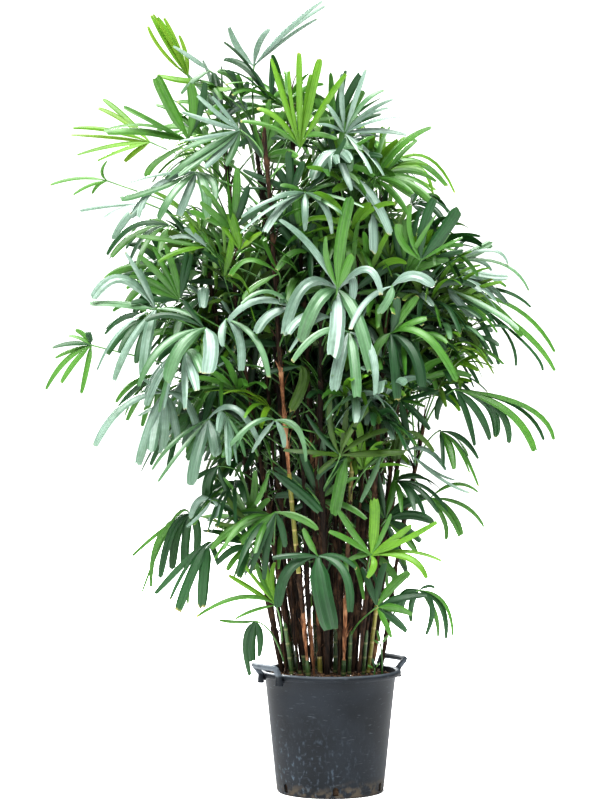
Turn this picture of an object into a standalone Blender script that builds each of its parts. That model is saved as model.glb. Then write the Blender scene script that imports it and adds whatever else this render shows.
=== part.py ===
# Lady palm in a round nursery pot: pot, two grips, soil, canes, masses of foliage and the outer fan leaves.
# Metres, +Z up. The origin is the centre of the pot's flat underside, and -Y is the front.
import math
import random

import bmesh
import bpy
from mathutils import Vector
from mathutils.bvhtree import BVHTree

# Pot
POT_HEIGHT = 0.342
RIM_RADIUS = 0.200
RIM_HEIGHT = 0.018
BODY_TOP_RADIUS = 0.184
BODY_FOOT_RADIUS = 0.150
FOOT_ROUNDING = 0.008
WALL = 0.004
POT_STEPS = 36

# Drain slots in the foot of the wall
SLOT_COUNT = 6
SLOT_WIDTH = 0.016
SLOT_BOTTOM = 0.008
SLOT_TOP = 0.032
SLOT_TURN = 5.0

# Grips on the rim, by the direction that each faces
GRIP_TURNS = {"grip_left": 213.0, "grip_right": 33.0}
GRIP_LENGTH = 0.113
GRIP_RISE = 0.026
GRIP_LEAN = 0.019
GRIP_BAR_RADIUS = 0.006
GRIP_FOOT_DROP = 0.030

# Soil
SOIL_TOP = 0.334
SOIL_EDGE_FALL = 0.010
SOIL_EDGE_WIDTH = 0.026

# Canes fan out from this place on the soil, to this many times their spacing there at a rise of one full height
CANE_CENTRE = (0.010, 0.0)
CANE_SPLAY = 2.7
CANE_FULL_RISE = 1.4
CANE_FOOT = 0.03
CANE_WAVE = 0.010
CANE_STEPS = 7
CANE_ROUNDING = 1

# Leaves
BLADE = 0.003
HUB_RADIUS = 0.020
LEAFLET_WIDTH = 0.030
LEAFLET_SHARE = 0.72
LEAFLET_STEPS = 2
STALK_WIDTH = 0.007
STALK_STEPS = 4

# Where the eye stands that sees a leaf's hub at its stated place across and up
VIEW_DISTANCE = 6.5
VIEW_HEIGHT = 1.08

# Clear space between neighbours
GAP = 0.0003
CUT_GAP = 0.0015
MASS_GAP = 0.004

# Each cane: its place on the soil, the height of its tip, its radius at the foot and at the tip
CANES = {
    "cane_01": (-0.135, -0.020, 1.40, 0.0135, 0.0100),
    "cane_02": (-0.108, -0.062, 1.45, 0.0080, 0.0070),
    "cane_03": (-0.103, 0.025, 1.80, 0.0100, 0.0080),
    "cane_04": (-0.062, -0.092, 1.75, 0.0095, 0.0085),
    "cane_05": (-0.070, -0.030, 1.88, 0.0085, 0.0070),
    "cane_06": (-0.062, 0.078, 1.70, 0.0120, 0.0090),
    "cane_07": (-0.028, -0.055, 1.90, 0.0095, 0.0070),
    "cane_08": (-0.030, 0.020, 1.85, 0.0090, 0.0070),
    "cane_09": (-0.008, -0.102, 1.30, 0.0130, 0.0100),
    "cane_10": (0.014, -0.030, 1.80, 0.0085, 0.0070),
    "cane_11": (0.030, 0.038, 1.70, 0.0110, 0.0080),
    "cane_12": (0.036, -0.085, 1.55, 0.0090, 0.0080),
    "cane_13": (0.062, -0.030, 1.60, 0.0135, 0.0100),
    "cane_14": (0.078, -0.078, 1.35, 0.0120, 0.0090),
    "cane_15": (0.106, -0.032, 1.40, 0.0080, 0.0070),
    "cane_16": (0.118, 0.018, 1.25, 0.0100, 0.0080),
}

# Each mass of foliage: its centre, then half its width, depth and height
MASSES = {
    "foliage_top_left": ((-0.320, 0.02, 1.87), (0.135, 0.16, 0.125)),
    "foliage_top": ((-0.080, 0.02, 1.82), (0.145, 0.17, 0.125)),
    "foliage_upper_left": ((-0.360, 0.00, 1.58), (0.175, 0.22, 0.165)),
    "foliage_upper_front": ((-0.085, -0.17, 1.54), (0.175, 0.14, 0.155)),
    "foliage_upper_back": ((-0.085, 0.19, 1.58), (0.185, 0.15, 0.175)),
    "foliage_upper_right": ((0.180, 0.00, 1.58), (0.165, 0.22, 0.165)),
    "foliage_mid_left": ((-0.390, 0.00, 1.25), (0.180, 0.22, 0.150)),
    "foliage_mid_front": ((-0.080, -0.25, 1.26), (0.180, 0.11, 0.130)),
    "foliage_mid_back": ((-0.080, 0.26, 1.25), (0.200, 0.12, 0.155)),
    "foliage_mid_right": ((0.240, 0.00, 1.26), (0.165, 0.22, 0.150)),
    "foliage_low_left": ((-0.320, 0.02, 0.95), (0.110, 0.17, 0.130)),
    "foliage_low_right": ((0.225, 0.03, 0.97), (0.105, 0.16, 0.125)),
}
MASS_LUMPS = 9
MASS_SWELL = 0.30
MASS_ROUND = 11
MASS_TALL = 7

# Each outer leaf, in these columns. Aim is the angle of its middle seen from the front, from right round over the top.
# Toward leans it to the eye, and lift turns its face from the eye up to the sky. Skew makes one side's leaflets longer.
LEAF_COLUMNS = ("across", "height", "depth", "aim", "toward", "lift", "leaflets", "length", "spread", "droop", "skew")
LEAVES = {
    "leaf_top": (-0.214, 2.039, 0.00, 62, 0, 20, 6, 0.205, 108, 0.30, -0.4),
    "leaf_top_left": (-0.400, 2.000, 0.03, 116, -5, 10, 5, 0.215, 26, 0.02, 0),
    "leaf_left_crest": (-0.423, 1.803, -0.17, 138, 15, 25, 4, 0.225, 60, 0.15, 0),
    "leaf_left_high": (-0.535, 1.823, 0.12, 167, 0, 20, 6, 0.195, 76, 0.10, 0),
    "leaf_left_tip": (-0.625, 1.715, 0.06, 180, 5, 50, 4, 0.165, 80, 0.30, 0),
    "leaf_left_fall": (-0.530, 1.648, -0.16, 200, 10, 30, 4, 0.175, 60, 0.25, 0),
    "leaf_crest": (-0.107, 1.854, -0.22, 88, 5, 5, 6, 0.225, 52, 0.02, 0),
    "leaf_star_right": (0.042, 1.851, -0.25, 25, 25, 15, 11, 0.180, 225, 0.15, 0),
    "leaf_right_arc": (0.135, 1.741, 0.06, 22, 0, 40, 5, 0.270, 62, 0.80, 0),
    "leaf_right_high": (0.248, 1.499, -0.28, 72, 8, 5, 7, 0.190, 80, 0.08, 0),
    "leaf_right_upper": (0.330, 1.487, 0.00, 8, 5, 35, 6, 0.240, 62, 0.50, 0),
    "leaf_right_far": (0.402, 1.380, 0.06, -12, 0, 35, 7, 0.275, 70, 0.55, 0),
    "leaf_right_low": (0.349, 1.124, -0.05, -22, 5, 40, 8, 0.290, 116, 0.80, 0.1),
    "leaf_right_foot": (0.279, 0.825, 0.03, -14, 5, 35, 6, 0.165, 95, 0.40, 0),
    "leaf_low_right": (0.248, 0.563, -0.04, -40, 10, 30, 7, 0.150, 150, 0.95, 0),
    "leaf_low_star": (0.110, 0.659, -0.20, 50, 22, 10, 10, 0.180, 235, 0.12, -0.2),
    "leaf_front_low": (-0.042, 0.662, -0.24, 270, 25, 35, 6, 0.205, 205, 0.70, 0),
    "leaf_sprout": (-0.155, 0.524, -0.10, 155, 10, 20, 8, 0.190, 120, 0.35, 0),
    "leaf_low_fall": (-0.217, 0.473, -0.10, 245, 10, 20, 4, 0.150, 80, 0.90, 0),
    "leaf_low_left": (-0.358, 0.687, -0.12, 243, 15, 30, 5, 0.195, 66, 0.30, 0),
    "leaf_low_left_outer": (-0.406, 0.772, 0.06, 235, 5, 30, 8, 0.205, 120, 0.95, 0),
    "leaf_left_low": (-0.468, 1.121, -0.22, 255, 20, 25, 8, 0.215, 115, 0.30, 0),
    "leaf_left_small": (-0.673, 1.259, 0.02, 203, 8, 15, 8, 0.150, 135, 0.20, 0),
    "leaf_left_mid": (-0.499, 1.349, -0.27, 188, 15, 25, 9, 0.205, 175, 0.45, 0),
    "leaf_back_high": (-0.050, 1.760, 0.32, 90, -50, 60, 7, 0.220, 150, 0.50, 0),
    "leaf_back_right": (0.220, 1.430, 0.34, 20, -45, 60, 7, 0.220, 140, 0.60, 0),
    "leaf_back_left": (-0.400, 1.410, 0.36, 160, -45, 60, 7, 0.220, 140, 0.60, 0),
    "leaf_back_low": (-0.040, 0.900, 0.30, 10, -60, 60, 7, 0.210, 140, 0.80, 0),
}

# Where a leaf's stalk makes for, when that isn't the middle of the nearest mass
STALK_ENDS = {
    "leaf_right_foot": (0.14, 0.03, 0.72),
    "leaf_low_right": (0.10, -0.03, 0.42),
    "leaf_low_star": (0.10, -0.08, 0.52),
    "leaf_front_low": (-0.02, -0.10, 0.50),
    "leaf_sprout": (-0.135, -0.03, 0.38),
    "leaf_low_fall": (-0.135, -0.02, 0.36),
    "leaf_low_left": (-0.16, -0.03, 0.70),
    "leaf_low_left_outer": (-0.16, 0.03, 0.74),
    "leaf_back_low": (-0.08, 0.12, 0.66),
}

COLOURS = {
    "pot": (0.045, 0.055, 0.070),
    "soil": (0.050, 0.034, 0.024),
    "cane": (0.110, 0.100, 0.045),
    "foliage": (0.045, 0.130, 0.030),
    "leaf": (0.090, 0.220, 0.055),
}


def clear_scene():
    for thing in list(bpy.data.objects):
        bpy.data.objects.remove(thing, do_unlink=True)


def new_collection(name):
    group = bpy.data.collections.new(name)
    bpy.context.scene.collection.children.link(group)
    return group


def new_material(name, colour, roughness):
    finish = bpy.data.materials.new(name)
    finish.use_nodes = True
    shader = finish.node_tree.nodes["Principled BSDF"]
    shader.inputs["Base Color"].default_value = (*colour, 1.0)
    shader.inputs["Roughness"].default_value = roughness
    shader.inputs["Metallic"].default_value = 0.0
    return finish


def add_object(name, data, group, finish=None):
    thing = bpy.data.objects.new(name, data)
    group.objects.link(thing)
    if finish:
        data.materials.append(finish)
    return thing


def add_cutter(name, mesh, cutters):
    cutter = add_object(name, mesh, cutters)
    cutter.hide_render = True
    cutter.display_type = "WIRE"
    return cutter


def mesh_from(name, work):
    mesh = bpy.data.meshes.new(name)
    work.to_mesh(mesh)
    work.free()
    return mesh


def baked_mesh(thing, name):
    bpy.context.view_layer.update()
    graph = bpy.context.evaluated_depsgraph_get()
    mesh = bpy.data.meshes.new_from_object(thing.evaluated_get(graph))
    mesh.name = name
    return mesh


def seen_place(across, height, depth):
    widen = (VIEW_DISTANCE + depth) / VIEW_DISTANCE
    return Vector((across * widen, depth, VIEW_HEIGHT + (height - VIEW_HEIGHT) * widen))


def turned(name, profile, steps, group, finish):
    # A profile that starts and ends on the axis, spun by a Screw modifier.
    mesh = bpy.data.meshes.new(name)
    lines = [(n, n + 1) for n in range(len(profile) - 1)]
    mesh.from_pydata([(radius, 0.0, height) for radius, height in profile], lines, [])
    thing = add_object(name, mesh, group, finish)
    spin = thing.modifiers.new("turn", "SCREW")
    spin.angle = math.tau
    spin.steps = steps
    spin.render_steps = steps
    spin.use_merge_vertices = True
    spin.merge_threshold = 0.00005
    spin.use_smooth_shade = True
    return thing


def wall_radius(height):
    share = min(1.0, height / (POT_HEIGHT - RIM_HEIGHT))
    return BODY_FOOT_RADIUS + (BODY_TOP_RADIUS - BODY_FOOT_RADIUS) * share


def arc(centre_radius, centre_height, radius, start, end, steps):
    points = []
    for n in range(steps + 1):
        angle = math.radians(start + (end - start) * n / steps)
        points.append((centre_radius + radius * math.cos(angle), centre_height + radius * math.sin(angle)))
    return points


def slot_mesh():
    # An arched prism that reaches through the wall at the pot's right.
    arch = SLOT_WIDTH / 2
    near = wall_radius(SLOT_BOTTOM) - 3 * WALL
    far = wall_radius(SLOT_TOP) + 2 * WALL
    outline = [(-arch, SLOT_BOTTOM), (arch, SLOT_BOTTOM)] + arc(0.0, SLOT_TOP - arch, arch, 0, 180, 4)
    work = bmesh.new()
    face = work.faces.new([work.verts.new((near, side, height)) for side, height in outline])
    pushed = bmesh.ops.extrude_face_region(work, geom=[face])["geom"]
    moved = [part for part in pushed if isinstance(part, bmesh.types.BMVert)]
    bmesh.ops.translate(work, verts=moved, vec=(far - near, 0, 0))
    bmesh.ops.recalc_face_normals(work, faces=work.faces)
    return mesh_from("slot", work)


def build_pot(group, cutters, finish):
    lip = RIM_HEIGHT / 2
    neck = POT_HEIGHT - RIM_HEIGHT
    inner_top = BODY_TOP_RADIUS - WALL
    foot = wall_radius(FOOT_ROUNDING) - FOOT_ROUNDING
    profile = [(0.0, WALL), (wall_radius(WALL) - WALL, WALL), (inner_top, neck), (inner_top + lip / 2, POT_HEIGHT)]
    profile += arc(RIM_RADIUS - lip, POT_HEIGHT - lip, lip, 80, -60, 4)
    profile += [(BODY_TOP_RADIUS, neck - 0.001)]
    profile += arc(foot, FOOT_ROUNDING, FOOT_ROUNDING, 0, -90, 2)
    profile += [(0.0, 0.0)]
    pot = turned("pot", profile, POT_STEPS, group, finish)
    slot = slot_mesh()
    for n in range(SLOT_COUNT):
        cutter = add_cutter(f"slot_{n}", slot, cutters)
        cutter.rotation_euler.z = math.radians(SLOT_TURN - 90 + 360 / SLOT_COUNT * n)
        cut = pot.modifiers.new(f"slot_{n}", "BOOLEAN")
        cut.object = cutter
        cut.solver = "EXACT"


def build_soil(group, finish):
    floor = WALL + GAP
    edge = SOIL_TOP - SOIL_EDGE_FALL
    inset = WALL + 2 * GAP
    profile = [(0.0, SOIL_TOP), (wall_radius(edge) - inset - SOIL_EDGE_WIDTH, SOIL_TOP)]
    profile += [(wall_radius(edge) - inset, edge), (wall_radius(floor) - inset, floor), (0.0, floor)]
    turned("soil", profile, POT_STEPS, group, finish)


def rod_curve(name, route, radii, rounding):
    # A curve with a round section whose radius changes from point to point.
    curve = bpy.data.curves.new(name, "CURVE")
    curve.dimensions = "3D"
    curve.bevel_depth = 1.0
    curve.bevel_resolution = rounding
    curve.use_fill_caps = True
    spline = curve.splines.new("POLY")
    spline.points.add(len(route) - 1)
    for point, place, radius in zip(spline.points, route, radii):
        point.co = (*place, 1.0)
        point.radius = radius
    return curve


def build_grip(name, turn, group, finish):
    # A round bar that follows the rim, on two legs that stand on the lip's outer side.
    near = RIM_RADIUS + GRIP_BAR_RADIUS + GAP
    half = GRIP_LENGTH / 2 / near
    top = POT_HEIGHT + GRIP_RISE - GRIP_BAR_RADIUS
    leg = [(0.84, 0.0, POT_HEIGHT - GRIP_FOOT_DROP), (0.84, 0.0, POT_HEIGHT - 0.004), (0.92, 0.8, top - 0.006)]
    bar = [(0.86 - 1.72 * n / 5, 1.0, top) for n in range(6)]
    route = []
    for side, lean, height in leg + bar + [(-side, lean, height) for side, lean, height in reversed(leg)]:
        way = math.radians(turn) + half * side
        radius = near + GRIP_LEAN * lean
        route.append((radius * math.cos(way), radius * math.sin(way), height))
    curve = rod_curve(name, route, [GRIP_BAR_RADIUS] * len(route), 2)
    add_object(name, curve, group, finish)


def cane_route(foot_x, foot_y, tip, order):
    # Canes lean away from the middle of the clump, so that none crosses another, and wave a little on the way.
    out = Vector((foot_x - CANE_CENTRE[0], foot_y - CANE_CENTRE[1], 0.0))
    rise = tip - SOIL_TOP - GAP
    foot = Vector((foot_x, foot_y, SOIL_TOP + GAP))
    route = [foot, foot + Vector((0, 0, CANE_FOOT))]
    for n in range(1, CANE_STEPS + 1):
        share = n / CANE_STEPS
        lean = (CANE_SPLAY - 1) * rise / CANE_FULL_RISE * share
        wave = Vector((math.sin(5 * share + order), math.cos(4 * share + 2 * order), 0)) * CANE_WAVE * share
        route.append(foot + Vector((0, 0, rise * share)) + out * lean + wave)
    return route


def build_cane(name, numbers, order, group, finish):
    foot_x, foot_y, tip, foot_radius, tip_radius = numbers
    route = cane_route(foot_x, foot_y, tip, order)
    last = len(route) - 1
    radii = [foot_radius + (tip_radius - foot_radius) * n / last for n in range(last + 1)]
    rod = add_object(name, rod_curve(name, route, radii, CANE_ROUNDING), group)
    mesh = baked_mesh(rod, name)
    bpy.data.objects.remove(rod, do_unlink=True)
    work = bmesh.new()
    work.from_mesh(mesh)
    bmesh.ops.remove_doubles(work, verts=work.verts, dist=0.00001)
    work.to_mesh(mesh)
    work.free()
    mesh.shade_smooth()
    mesh.set_sharp_from_angle(angle=math.radians(70))
    return add_object(name, mesh, group, finish), route[0]


def reach_along(way, half_sizes):
    return 1 / math.sqrt(sum((way[axis] / half_sizes[axis]) ** 2 for axis in range(3)))


def build_mass(name, centre, half_sizes, neighbours, group, finish, seed):
    # An uneven ball, cut flat where it would run into a neighbour.
    dice = random.Random(seed)
    lumps = []
    for _ in range(MASS_LUMPS):
        way = Vector((dice.gauss(0, 1), dice.gauss(0, 1), dice.gauss(0, 1))).normalized()
        lumps.append((way, dice.uniform(-1, 1)))
    work = bmesh.new()
    bmesh.ops.create_uvsphere(work, u_segments=MASS_ROUND, v_segments=MASS_TALL, radius=1.0)
    for vert in work.verts:
        swell = 1 + MASS_SWELL * sum(size * max(0.0, vert.co.dot(way)) ** 4 for way, size in lumps)
        vert.co = Vector([vert.co[axis] * half_sizes[axis] * swell + centre[axis] for axis in range(3)])
    for other_centre, other_half in neighbours:
        between = other_centre - centre
        way = between.normalized()
        reach = reach_along(way, half_sizes)
        other_reach = reach_along(way, other_half)
        wall = centre + between * (reach / (reach + other_reach)) - way * MASS_GAP / 2
        whole = list(work.verts) + list(work.edges) + list(work.faces)
        bmesh.ops.bisect_plane(work, geom=whole, dist=1e-6, plane_co=wall, plane_no=way, clear_outer=True)
        bmesh.ops.holes_fill(work, edges=[edge for edge in work.edges if edge.is_boundary], sides=0)
    bmesh.ops.remove_doubles(work, verts=work.verts, dist=0.0005)
    bmesh.ops.dissolve_degenerate(work, edges=work.edges, dist=0.002)
    bmesh.ops.recalc_face_normals(work, faces=work.faces)
    bmesh.ops.triangulate(work, faces=work.faces)
    return add_object(name, mesh_from(name, work), group, finish)


def swollen_copy(thing, cutters):
    # A cutter a little larger all round than the piece.
    name = thing.name + "_clear"
    mesh = baked_mesh(thing, name)
    work = bmesh.new()
    work.from_mesh(mesh)
    work.normal_update()
    for vert in work.verts:
        vert.co += vert.normal * CUT_GAP
    work.to_mesh(mesh)
    work.free()
    return add_cutter(name, mesh, cutters)


def surface_of(thing):
    mesh = thing.data
    places = [vert.co for vert in mesh.vertices]
    return BVHTree.FromPolygons(places, [tuple(face.vertices) for face in mesh.polygons])


def keep_piece_at(mesh, place):
    # After a cut, only the loose piece nearest the given place stays.
    work = bmesh.new()
    work.from_mesh(mesh)
    left = set(work.verts)
    pieces = []
    while left:
        piece = {left.pop()}
        edge_of_piece = list(piece)
        while edge_of_piece:
            near = {edge.other_vert(vert) for vert in edge_of_piece for edge in vert.link_edges}
            edge_of_piece = list(near - piece)
            piece |= near
        left -= piece
        pieces.append(piece)
    kept = min(pieces, key=lambda piece: min((vert.co - place).length for vert in piece))
    bmesh.ops.delete(work, geom=[vert for vert in work.verts if vert not in kept], context="VERTS")
    bmesh.ops.remove_doubles(work, verts=work.verts, dist=0.00002)
    work.to_mesh(mesh)
    work.free()


def cut_clear(thing, others, place):
    # Cuts the piece wherever it runs into one of the others, and keeps the part at the given place.
    for other in others:
        if surface_of(thing).overlap(surface_of(other)):
            cut = thing.modifiers.new("clear", "BOOLEAN")
            cut.object = other
            cut.solver = "EXACT"
            mesh = baked_mesh(thing, thing.name)
            keep_piece_at(mesh, place)
            thing.modifiers.remove(cut)
            thing.data = mesh


def leaf_frame(aim, toward, lift):
    # The leaf's own directions: ahead along its middle, to its side, and out of its upper face.
    aim, toward, lift = (math.radians(angle) for angle in (aim, toward, lift))
    ahead = Vector((math.cos(aim) * math.cos(toward), -math.sin(toward), math.sin(aim) * math.cos(toward)))
    side = Vector((-math.sin(aim), 0, math.cos(aim)))
    face = ahead.cross(side)
    skyward = 1 if side.z >= 0 else -1
    turned_side = side * math.cos(lift) - face * math.sin(lift) * skyward
    return ahead, turned_side, ahead.cross(turned_side)


def leaflet_route(start, way, face, length, droop):
    # A leaflet lifts a little off its hub and falls under its own weight further out.
    level = math.hypot(way.x, way.y)
    route = [start]
    for n in range(LEAFLET_STEPS):
        share = (n + 0.5) / LEAFLET_STEPS
        fall = Vector((0, 0, 1.6 * droop * share * (0.25 + 0.75 * level)))
        heading = way + face * 0.25 * (1 - share) - fall
        route.append(route[-1] + heading.normalized() * (length / LEAFLET_STEPS))
    return route


def grow_strip(work, left, right, route, widths, side_of):
    # Faces from one edge along a route, each as wide as stated.
    for before, place, width in zip(route, route[1:], widths):
        flat = side_of((place - before).normalized()) * width / 2
        ends = (work.verts.new(place + flat), work.verts.new(place - flat))
        work.faces.new((left, ends[0], ends[1], right))
        left, right = ends


def build_leaf(name, leaf, hub, end, group, finish):
    # One sheet of hub, leaflets and stalk, given its thickness by Solidify.
    ahead, side, face = leaf_frame(leaf["aim"], leaf["toward"], leaf["lift"])
    count = leaf["leaflets"]
    step = math.radians(leaf["spread"]) / (count - 1)
    work = bmesh.new()
    middle = work.verts.new(hub)

    def way_at(place):
        angle = (place - count / 2) * step
        return ahead * math.cos(angle) + side * math.sin(angle)

    rim = [work.verts.new(hub + way_at(n) * HUB_RADIUS) for n in range(count + 1)]
    for n in range(count):
        work.faces.new((middle, rim[n], rim[n + 1]))
        way = way_at(n + 0.5)
        out = 2 * (n + 0.5) / count - 1
        length = leaf["length"] * (1 - 0.22 * abs(out)) * (1 + leaf["skew"] * out)
        route = leaflet_route(hub + way * HUB_RADIUS, way, face, length, leaf["droop"])
        apart = (2 * HUB_RADIUS + length) * math.sin(step / 2)
        width = min(LEAFLET_WIDTH, LEAFLET_SHARE * apart)
        widths = (width, width * 0.5)
        grow_strip(work, rim[n], rim[n + 1], route, widths, lambda along: along.cross(face).normalized())

    back = hub - ahead * HUB_RADIUS * 0.7
    left = work.verts.new(back + side * STALK_WIDTH / 2)
    right = work.verts.new(back - side * STALK_WIDTH / 2)
    for corners in ((rim[-1], left), (left, right), (right, rim[0])):
        work.faces.new((middle, *corners))
    bend = back - ahead * (back - end).length * 0.45
    stalk = [back]
    for n in range(1, STALK_STEPS + 1):
        share = n / STALK_STEPS
        stalk.append(back * (1 - share) ** 2 + bend * (2 * share * (1 - share)) + end * share ** 2)
    widths = [STALK_WIDTH] * STALK_STEPS
    grow_strip(work, left, right, stalk, widths, lambda along: (side - along * side.dot(along)).normalized())
    bmesh.ops.recalc_face_normals(work, faces=work.faces)

    thing = add_object(name, mesh_from(name, work), group, finish)
    skin = thing.modifiers.new("blade", "SOLIDIFY")
    skin.thickness = BLADE
    skin.offset = 0.0
    mesh = baked_mesh(thing, name)
    thing.modifiers.remove(skin)
    thing.data = mesh
    return thing


def main():
    clear_scene()
    group = new_collection("lady palm")
    cutters = new_collection("cutters")

    build_pot(group, cutters, new_material("pot", COLOURS["pot"], 0.55))
    build_soil(group, new_material("soil", COLOURS["soil"], 0.95))
    for name, turn in GRIP_TURNS.items():
        build_grip(name, turn, group, new_material(name, COLOURS["pot"], 0.55))

    bulks = {name: (Vector(centre), half_sizes) for name, (centre, half_sizes) in MASSES.items()}
    masses = []
    for seed, (name, (centre, half_sizes)) in enumerate(bulks.items()):
        neighbours = [bulk for other, bulk in bulks.items() if other != name]
        finish = new_material(name, COLOURS["foliage"], 0.7)
        masses.append(build_mass(name, centre, half_sizes, neighbours, group, finish, seed))
    keep_off = [swollen_copy(mass, cutters) for mass in masses]

    canes = []
    for order, (name, numbers) in enumerate(CANES.items()):
        cane, foot = build_cane(name, numbers, order, group, new_material(name, COLOURS["cane"], 0.6))
        cut_clear(cane, keep_off, foot)
        canes.append(cane)
    keep_off += [swollen_copy(cane, cutters) for cane in canes]

    for name, numbers in LEAVES.items():
        leaf = dict(zip(LEAF_COLUMNS, numbers))
        hub = seen_place(leaf["across"], leaf["height"], leaf["depth"])
        nearest = min((centre for centre, _ in bulks.values()), key=lambda centre: (centre - hub).length)
        end = Vector(STALK_ENDS.get(name, nearest))
        thing = build_leaf(name, leaf, hub, end, group, new_material(name, COLOURS["leaf"], 0.45))
        cut_clear(thing, keep_off, hub)
        keep_off.append(swollen_copy(thing, cutters))


main()
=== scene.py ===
import math
import random

import bmesh
import bpy
from mathutils import Matrix, Vector, noise


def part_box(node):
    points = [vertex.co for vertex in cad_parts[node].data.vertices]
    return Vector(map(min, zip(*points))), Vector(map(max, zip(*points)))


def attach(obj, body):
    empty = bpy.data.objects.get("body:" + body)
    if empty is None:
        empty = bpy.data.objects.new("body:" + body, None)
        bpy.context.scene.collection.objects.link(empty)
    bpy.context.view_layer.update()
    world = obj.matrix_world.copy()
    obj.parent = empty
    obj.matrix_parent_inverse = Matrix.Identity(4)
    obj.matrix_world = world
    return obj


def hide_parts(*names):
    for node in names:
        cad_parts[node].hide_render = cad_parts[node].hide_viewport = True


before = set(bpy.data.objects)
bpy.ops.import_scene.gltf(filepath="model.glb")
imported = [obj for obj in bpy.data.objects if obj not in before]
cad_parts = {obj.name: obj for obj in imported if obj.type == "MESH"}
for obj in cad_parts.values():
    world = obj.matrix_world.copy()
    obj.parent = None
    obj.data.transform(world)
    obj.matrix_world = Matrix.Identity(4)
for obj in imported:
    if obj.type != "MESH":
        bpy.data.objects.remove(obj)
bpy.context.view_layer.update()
up = Vector((0, 0, 1))
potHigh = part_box("pot")[1]
print("frame loaded")

# View and light

view = {
    "distance": 6.5,  # from the eye to the plane of the pot's middle
    "across": -0.085,
    "height": 1.099,
    "tall": 2.2535,  # how much of that plane the picture's height takes in
    "picture": (600, 800),
    "film": 36.0,
    "exposure": 0.66,
    "gamma": 0.77,
}
light = {
    "skyTurn": (26, -5, 0),  # the big soft light over the front left
    "skyPower": 7.0,
    "skySpread": 48,
    "backTurn": (-52, -30, 0),  # light through the leaves from behind
    "backPower": 4.6,
    "backSpread": 22,
    "around": 0.22,
    "aroundColour": (0.93, 0.97, 1.0, 1.0),
    "behindColour": (1.0, 1.0, 1.0, 1.0),  # what shows past the floor's edge
}


def seenPlace(across, height, depth):
    # the place at this depth that the eye sees at this place across and up
    widen = (view["distance"] + depth) / view["distance"]
    return Vector((view["across"] + (across - view["across"]) * widen, depth,
                   view["height"] + (height - view["height"]) * widen))


def placeAt(spot, depth):
    # the place at this depth behind a spot of the picture
    wide, tall = view["picture"]
    step = view["tall"] / tall
    across = view["across"] + (spot[0] - wide / 2) * step
    height = view["height"] + (tall / 2 - spot[1]) * step
    return seenPlace(across, height, depth)


def seenFrom(place):
    # the other way round: where across and up the eye sees this place
    shrink = view["distance"] / (view["distance"] + place.y)
    return (view["across"] + (place.x - view["across"]) * shrink,
            view["height"] + (place.z - view["height"]) * shrink)


def setView():
    lens = bpy.data.cameras.new("eye")
    lens.sensor_width = view["film"]
    lens.lens = view["film"] * view["distance"] / view["tall"]
    eye = bpy.data.objects.new("eye", lens)
    eye.location = (view["across"], -view["distance"], view["height"])
    eye.rotation_euler = (math.radians(90), 0, 0)
    bpy.context.scene.collection.objects.link(eye)
    bpy.context.scene.camera = eye
    picture = bpy.context.scene.view_settings
    picture.view_transform = "Standard"
    picture.exposure = view["exposure"]
    picture.gamma = view["gamma"]


def addSun(name, turn, power, spread):
    lamp = bpy.data.lights.new(name, "SUN")
    lamp.energy = power
    lamp.angle = math.radians(spread)
    sun = bpy.data.objects.new(name, lamp)
    sun.rotation_euler = [math.radians(angle) for angle in turn]
    bpy.context.scene.collection.objects.link(sun)


def setLight():
    addSun("sky", light["skyTurn"], light["skyPower"], light["skySpread"])
    addSun("back", light["backTurn"], light["backPower"], light["backSpread"])
    world = bpy.data.worlds.new("studio")
    world.use_nodes = True
    nodes = world.node_tree.nodes
    links = world.node_tree.links
    around = nodes["Background"]
    around.inputs["Color"].default_value = light["aroundColour"]
    around.inputs["Strength"].default_value = light["around"]
    behind = nodes.new("ShaderNodeBackground")
    behind.inputs["Color"].default_value = light["behindColour"]
    path = nodes.new("ShaderNodeLightPath")
    mix = nodes.new("ShaderNodeMixShader")
    links.new(path.outputs["Is Camera Ray"], mix.inputs["Fac"])
    links.new(around.outputs["Background"], mix.inputs[1])
    links.new(behind.outputs["Background"], mix.inputs[2])
    links.new(mix.outputs["Shader"], nodes["World Output"].inputs["Surface"])
    bpy.context.scene.world = world


# Finishes


class Signal:
    # a socket that can be reckoned with like a number
    def __init__(self, finish, socket):
        self.finish = finish
        self.socket = socket

    def reckon(self, operation, first, second=0.0):
        return self.finish.node("Math", {"operation": operation}, {0: first, 1: second})

    def __add__(self, other):
        return self.reckon("ADD", self, other)

    __radd__ = __add__

    def __sub__(self, other):
        return self.reckon("SUBTRACT", self, other)

    def __rsub__(self, other):
        return self.reckon("SUBTRACT", other, self)

    def __mul__(self, other):
        return self.reckon("MULTIPLY", self, other)

    __rmul__ = __mul__

    def __pow__(self, other):
        return self.reckon("POWER", self, other)

    def sine(self):
        return self.reckon("SINE", self)


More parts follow.
